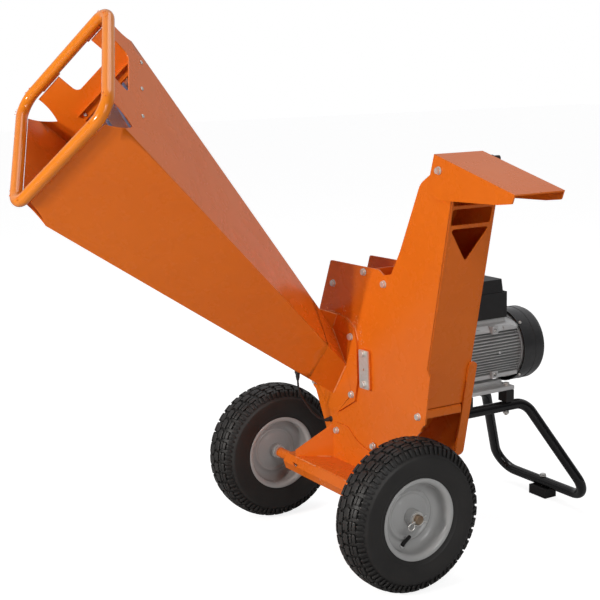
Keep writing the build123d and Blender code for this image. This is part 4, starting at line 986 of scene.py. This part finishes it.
MOUTH_TOP = (-466, 1214)
MOUTH_BOTTOM = (-683, 831)
MOUTH_MIDDLE = ((MOUTH_TOP[0] + MOUTH_BOTTOM[0]) / 2, (MOUTH_TOP[1] + MOUTH_BOTTOM[1]) / 2)
MOUTH_HALF = 231
MOUTH_CORNERS = (at(CHUTE_X, *MOUTH_TOP), at(CHUTE_X + MOUTH_HALF, *MOUTH_MIDDLE),
                 at(CHUTE_X, *MOUTH_BOTTOM), at(CHUTE_X - MOUTH_HALF, *MOUTH_MIDDLE))
# The welded shares of each side from the top corner round by the right; both upper sides have a hand hole.
MOUTH_SPANS = (((0.10, 0.28), (0.61, 0.80)), ((0.16, 0.86),), ((0.16, 0.86),), ((0.20, 0.39), (0.72, 0.90)))
FRAME_TUBE_R = 12.5


def make_frame_welds():
    """Tack welds between the tube frame and the four sheets, with droplets on the tube by its bends."""
    tacks = Builder()
    throat = at(CHUTE_X, FLANGE_FRONT, sum(THROAT_Z) / 2)
    centre = (MOUTH_CORNERS[0] + MOUTH_CORNERS[2]) / 2
    inward = (throat - centre).normalized()
    for order, spans in enumerate(MOUTH_SPANS):
        a, b = MOUTH_CORNERS[order], MOUTH_CORNERS[(order + 1) % 4]
        outward = (blend(a, b, 0.5) - centre).normalized()
        for start, end in spans:
            ends = [blend(a, b, share) + inward * FRAME_TUBE_R * MM for share in (start, end)]
            tacks.weld(ends, 3.0 * MM, 80 + order)
        for k, share in enumerate((0.09, 0.14, 0.88, 0.92)):
            normal = (outward * (0.2 + 0.3 * (k % 2)) - inward).normalized()
            place = blend(a, b, share) + normal * 12.3 * MM
            tacks.spatter(place, 2.2 * MM, normal, 3, 90 + 7 * order + k, 1.0 * MM)
    tacks.piece("mouth_frame_welds", "machine", [orange], sharp=80)


make_frame_welds()

# Distances along a flap's hinge line are in millimetres from the mouth's top corner.
FLAP_REACH = (64, 230)
FLAP_FULL_FROM = 156
FLAP_HANG = (14, 138)
FLAP_PIVOT = 147
# Each strip's start and end along the hinge line, its lean in degrees and its curl.
STRIPS = ((64, 108, -4.0, 1.2), (106, 150, 3.5, -0.9), (148, 192, -3.0, 1.0), (190, 230, 4.5, -1.2))
STRIP_STEPS = 12
STRIP_HALF = 1.25
# A strip's section as (share of its width, face: -1 front and 1 back), and which of its runs get the dark edge bands of
# painted shade.
STRIP_RING = ((0, -1), (0.1, -1), (0.9, -1), (1, -1), (1.012, -0.5), (1.012, 0.5), (1, 1), (0.9, 1), (0.1, 1), (0, 1),
              (-0.012, 0.5), (-0.012, -0.5))
EDGE_SHADE_RUNS = (0, 2, 3, 4, 5, 6, 8, 9, 10, 11)


def flap_length(place):
    """How far a flap hangs at a place along its hinge line: short by the ridge, full length towards the side."""
    place = min(max(place, FLAP_REACH[0]), FLAP_REACH[1])
    return blend(*FLAP_HANG, min(1.0, (place - FLAP_REACH[0]) / (FLAP_FULL_FROM - FLAP_REACH[0])))


def make_flap(side):
    """Overlapping clear strips that hang from the batten, each a little curled and turned its own way."""
    joint = joints[f"curtain_{side}_swing"]
    axis = Vector(joint["axis"]).normalized()
    pivot = Vector(joint["pos_m"])
    down = (-Z + axis * axis.z).normalized()
    across = axis.cross(down)
    strips = Builder()
    for start, end, lean, curl in STRIPS:
        rows = []
        for i in range(STRIP_STEPS + 1):
            v = i / STRIP_STEPS
            swing = math.radians(lean) * (0.3 + 0.7 * v)
            row = []
            for u, face in STRIP_RING:
                place = start + (end - start) * u
                drop = flap_length(place) * v
                bow = curl * 5.0 * v * v + 1.6 * math.sin(math.pi * u) * v
                off = math.sin(swing) * drop + bow + face * STRIP_HALF
                row.append(pivot + axis * (place - FLAP_PIVOT) * MM
                           + down * (math.cos(swing) * drop * 0.985) * MM + across * off * MM)
            rows.append(row)
        first = len(strips.faces)
        strips.skin(rows)
        # The runs along each strip's edges take the dark PVC copy: painted shade.
        for i in range(STRIP_STEPS):
            for j in EDGE_SHADE_RUNS:
                strips.slots[first + i * len(STRIP_RING) + j] = 1
        strips.slots[-1] = 1
    strips.piece(f"curtain_strips_{side}", f"flap_{side}", [pvc, pvc_painted_edge_shade], [f"curtain_flap_{side}"],
                 sharp=40)


for side in ("left", "right"):
    make_flap(side)

# ---------------------------------------------------------------- floor and light

FLOOR_SIZE = 40.0
FLOOR_GREYS = (0.42, 0.44)
FLOOR_GLOW = 0.84            # seen by the camera only, so that the floor is white but lights little from below
WHITE = (1, 1, 1)
WARM = (1.0, 0.97, 0.93)
# name, place, target, size, power, colour
LIGHTS = (
    ("key", (0.05, -4.8, 1.7), (0.0, -0.6, 0.6), 0.24, 76, WARM),
    ("key_beside", (0.75, -4.7, 1.7), (0.0, -0.6, 0.6), 0.3, 50, WARM),
    ("side", (3.7, -0.9, 1.7), (0.0, -0.5, 0.45), 2.0, 38, WHITE),
    ("glint", (2.4, -1.5, 2.3), (0.1, -0.8, 0.6), 0.35, 9, WHITE),
    ("overhead", (-0.6, 0.2, 4.2), (0.0, -0.6, 0.5), 2.0, 30, WHITE),
)
# The world's brightness along a direction; its bright end is above and behind the machine as the camera sees it.
WORLD_DIRECTION = (-0.74, 0.45, 0.50)
WORLD_STOPS = ((0.0, 0.015), (0.35, 0.03), (0.6, 0.13), (0.85, 0.5))


def area_light(name, place, target, size, power, colour):
    data = bpy.data.lights.new(name, "AREA")
    data.energy = power
    data.color = colour
    data.size = size
    lamp = bpy.data.objects.new(name, data)
    lamp.location = place
    lamp.rotation_euler = (Vector(target) - Vector(place)).to_track_quat("-Z", "Y").to_euler()
    bpy.context.scene.collection.objects.link(lamp)


def make_world():
    """A white studio: what the object sees is brightest towards the backdrop and overhead, darker on the near side."""
    world = bpy.data.worlds.new("studio")
    bpy.context.scene.world = world
    world.use_nodes = True
    tree = world.node_tree
    background = tree.nodes["Background"]
    place = tree.nodes.new("ShaderNodeTexCoord").outputs["Generated"]
    dot = tree.nodes.new("ShaderNodeVectorMath")
    dot.operation = "DOT_PRODUCT"
    dot.inputs[1].default_value = WORLD_DIRECTION
    tree.links.new(place, dot.inputs[0])
    spread = tree.nodes.new("ShaderNodeMapRange")
    spread.inputs["From Min"].default_value = -1.0
    spread.inputs["From Max"].default_value = 1.0
    tree.links.new(dot.outputs["Value"], spread.inputs["Value"])
    ramp = tree.nodes.new("ShaderNodeValToRGB")
    elements = ramp.color_ramp.elements
    while len(elements) < len(WORLD_STOPS):
        elements.new(0.5)
    for element, (position, grey) in zip(elements, WORLD_STOPS):
        element.position = position
        element.color = (grey, grey, grey * 1.02, 1)
    tree.links.new(spread.outputs["Result"], ramp.inputs["Fac"])
    pick = tree.nodes.new("ShaderNodeMix")
    pick.data_type = "RGBA"
    factor, seen_by_others, seen_by_camera = (pick.inputs[index] for index in MIX_COLOUR_SOCKETS)
    seen_by_camera.default_value = (*WHITE, 1)
    tree.links.new(tree.nodes.new("ShaderNodeLightPath").outputs[LIGHT_PATH_CAMERA], factor)
    tree.links.new(ramp.outputs["Color"], seen_by_others)
    tree.links.new(pick.outputs[MIX_COLOUR_RESULT], background.inputs["Color"])
    background.inputs["Strength"].default_value = 1.0


def make_studio():
    """A pale floor, the world and the lamps."""
    bpy.context.scene.view_settings.view_transform = "Standard"
    bpy.ops.mesh.primitive_plane_add(size=FLOOR_SIZE, location=(0, -0.6, 0))
    floor = bpy.context.object
    floor.name = "studio_floor"
    s = Shader("studio_floor", Roughness=0.9, Emission_Color=(*WHITE, 1))
    s.feed("Emission Strength", s.product(s.node("ShaderNodeLightPath").outputs[LIGHT_PATH_CAMERA], FLOOR_GLOW))
    darker, paler = ((grey,) * 3 for grey in FLOOR_GREYS)
    s.feed("Base Color", s.mix(s.noise(3.0, 4.0, 0.6), darker, paler))
    floor.data.materials.append(s.material)
    make_world()
    for light in LIGHTS:
        area_light(*light)


make_studio()
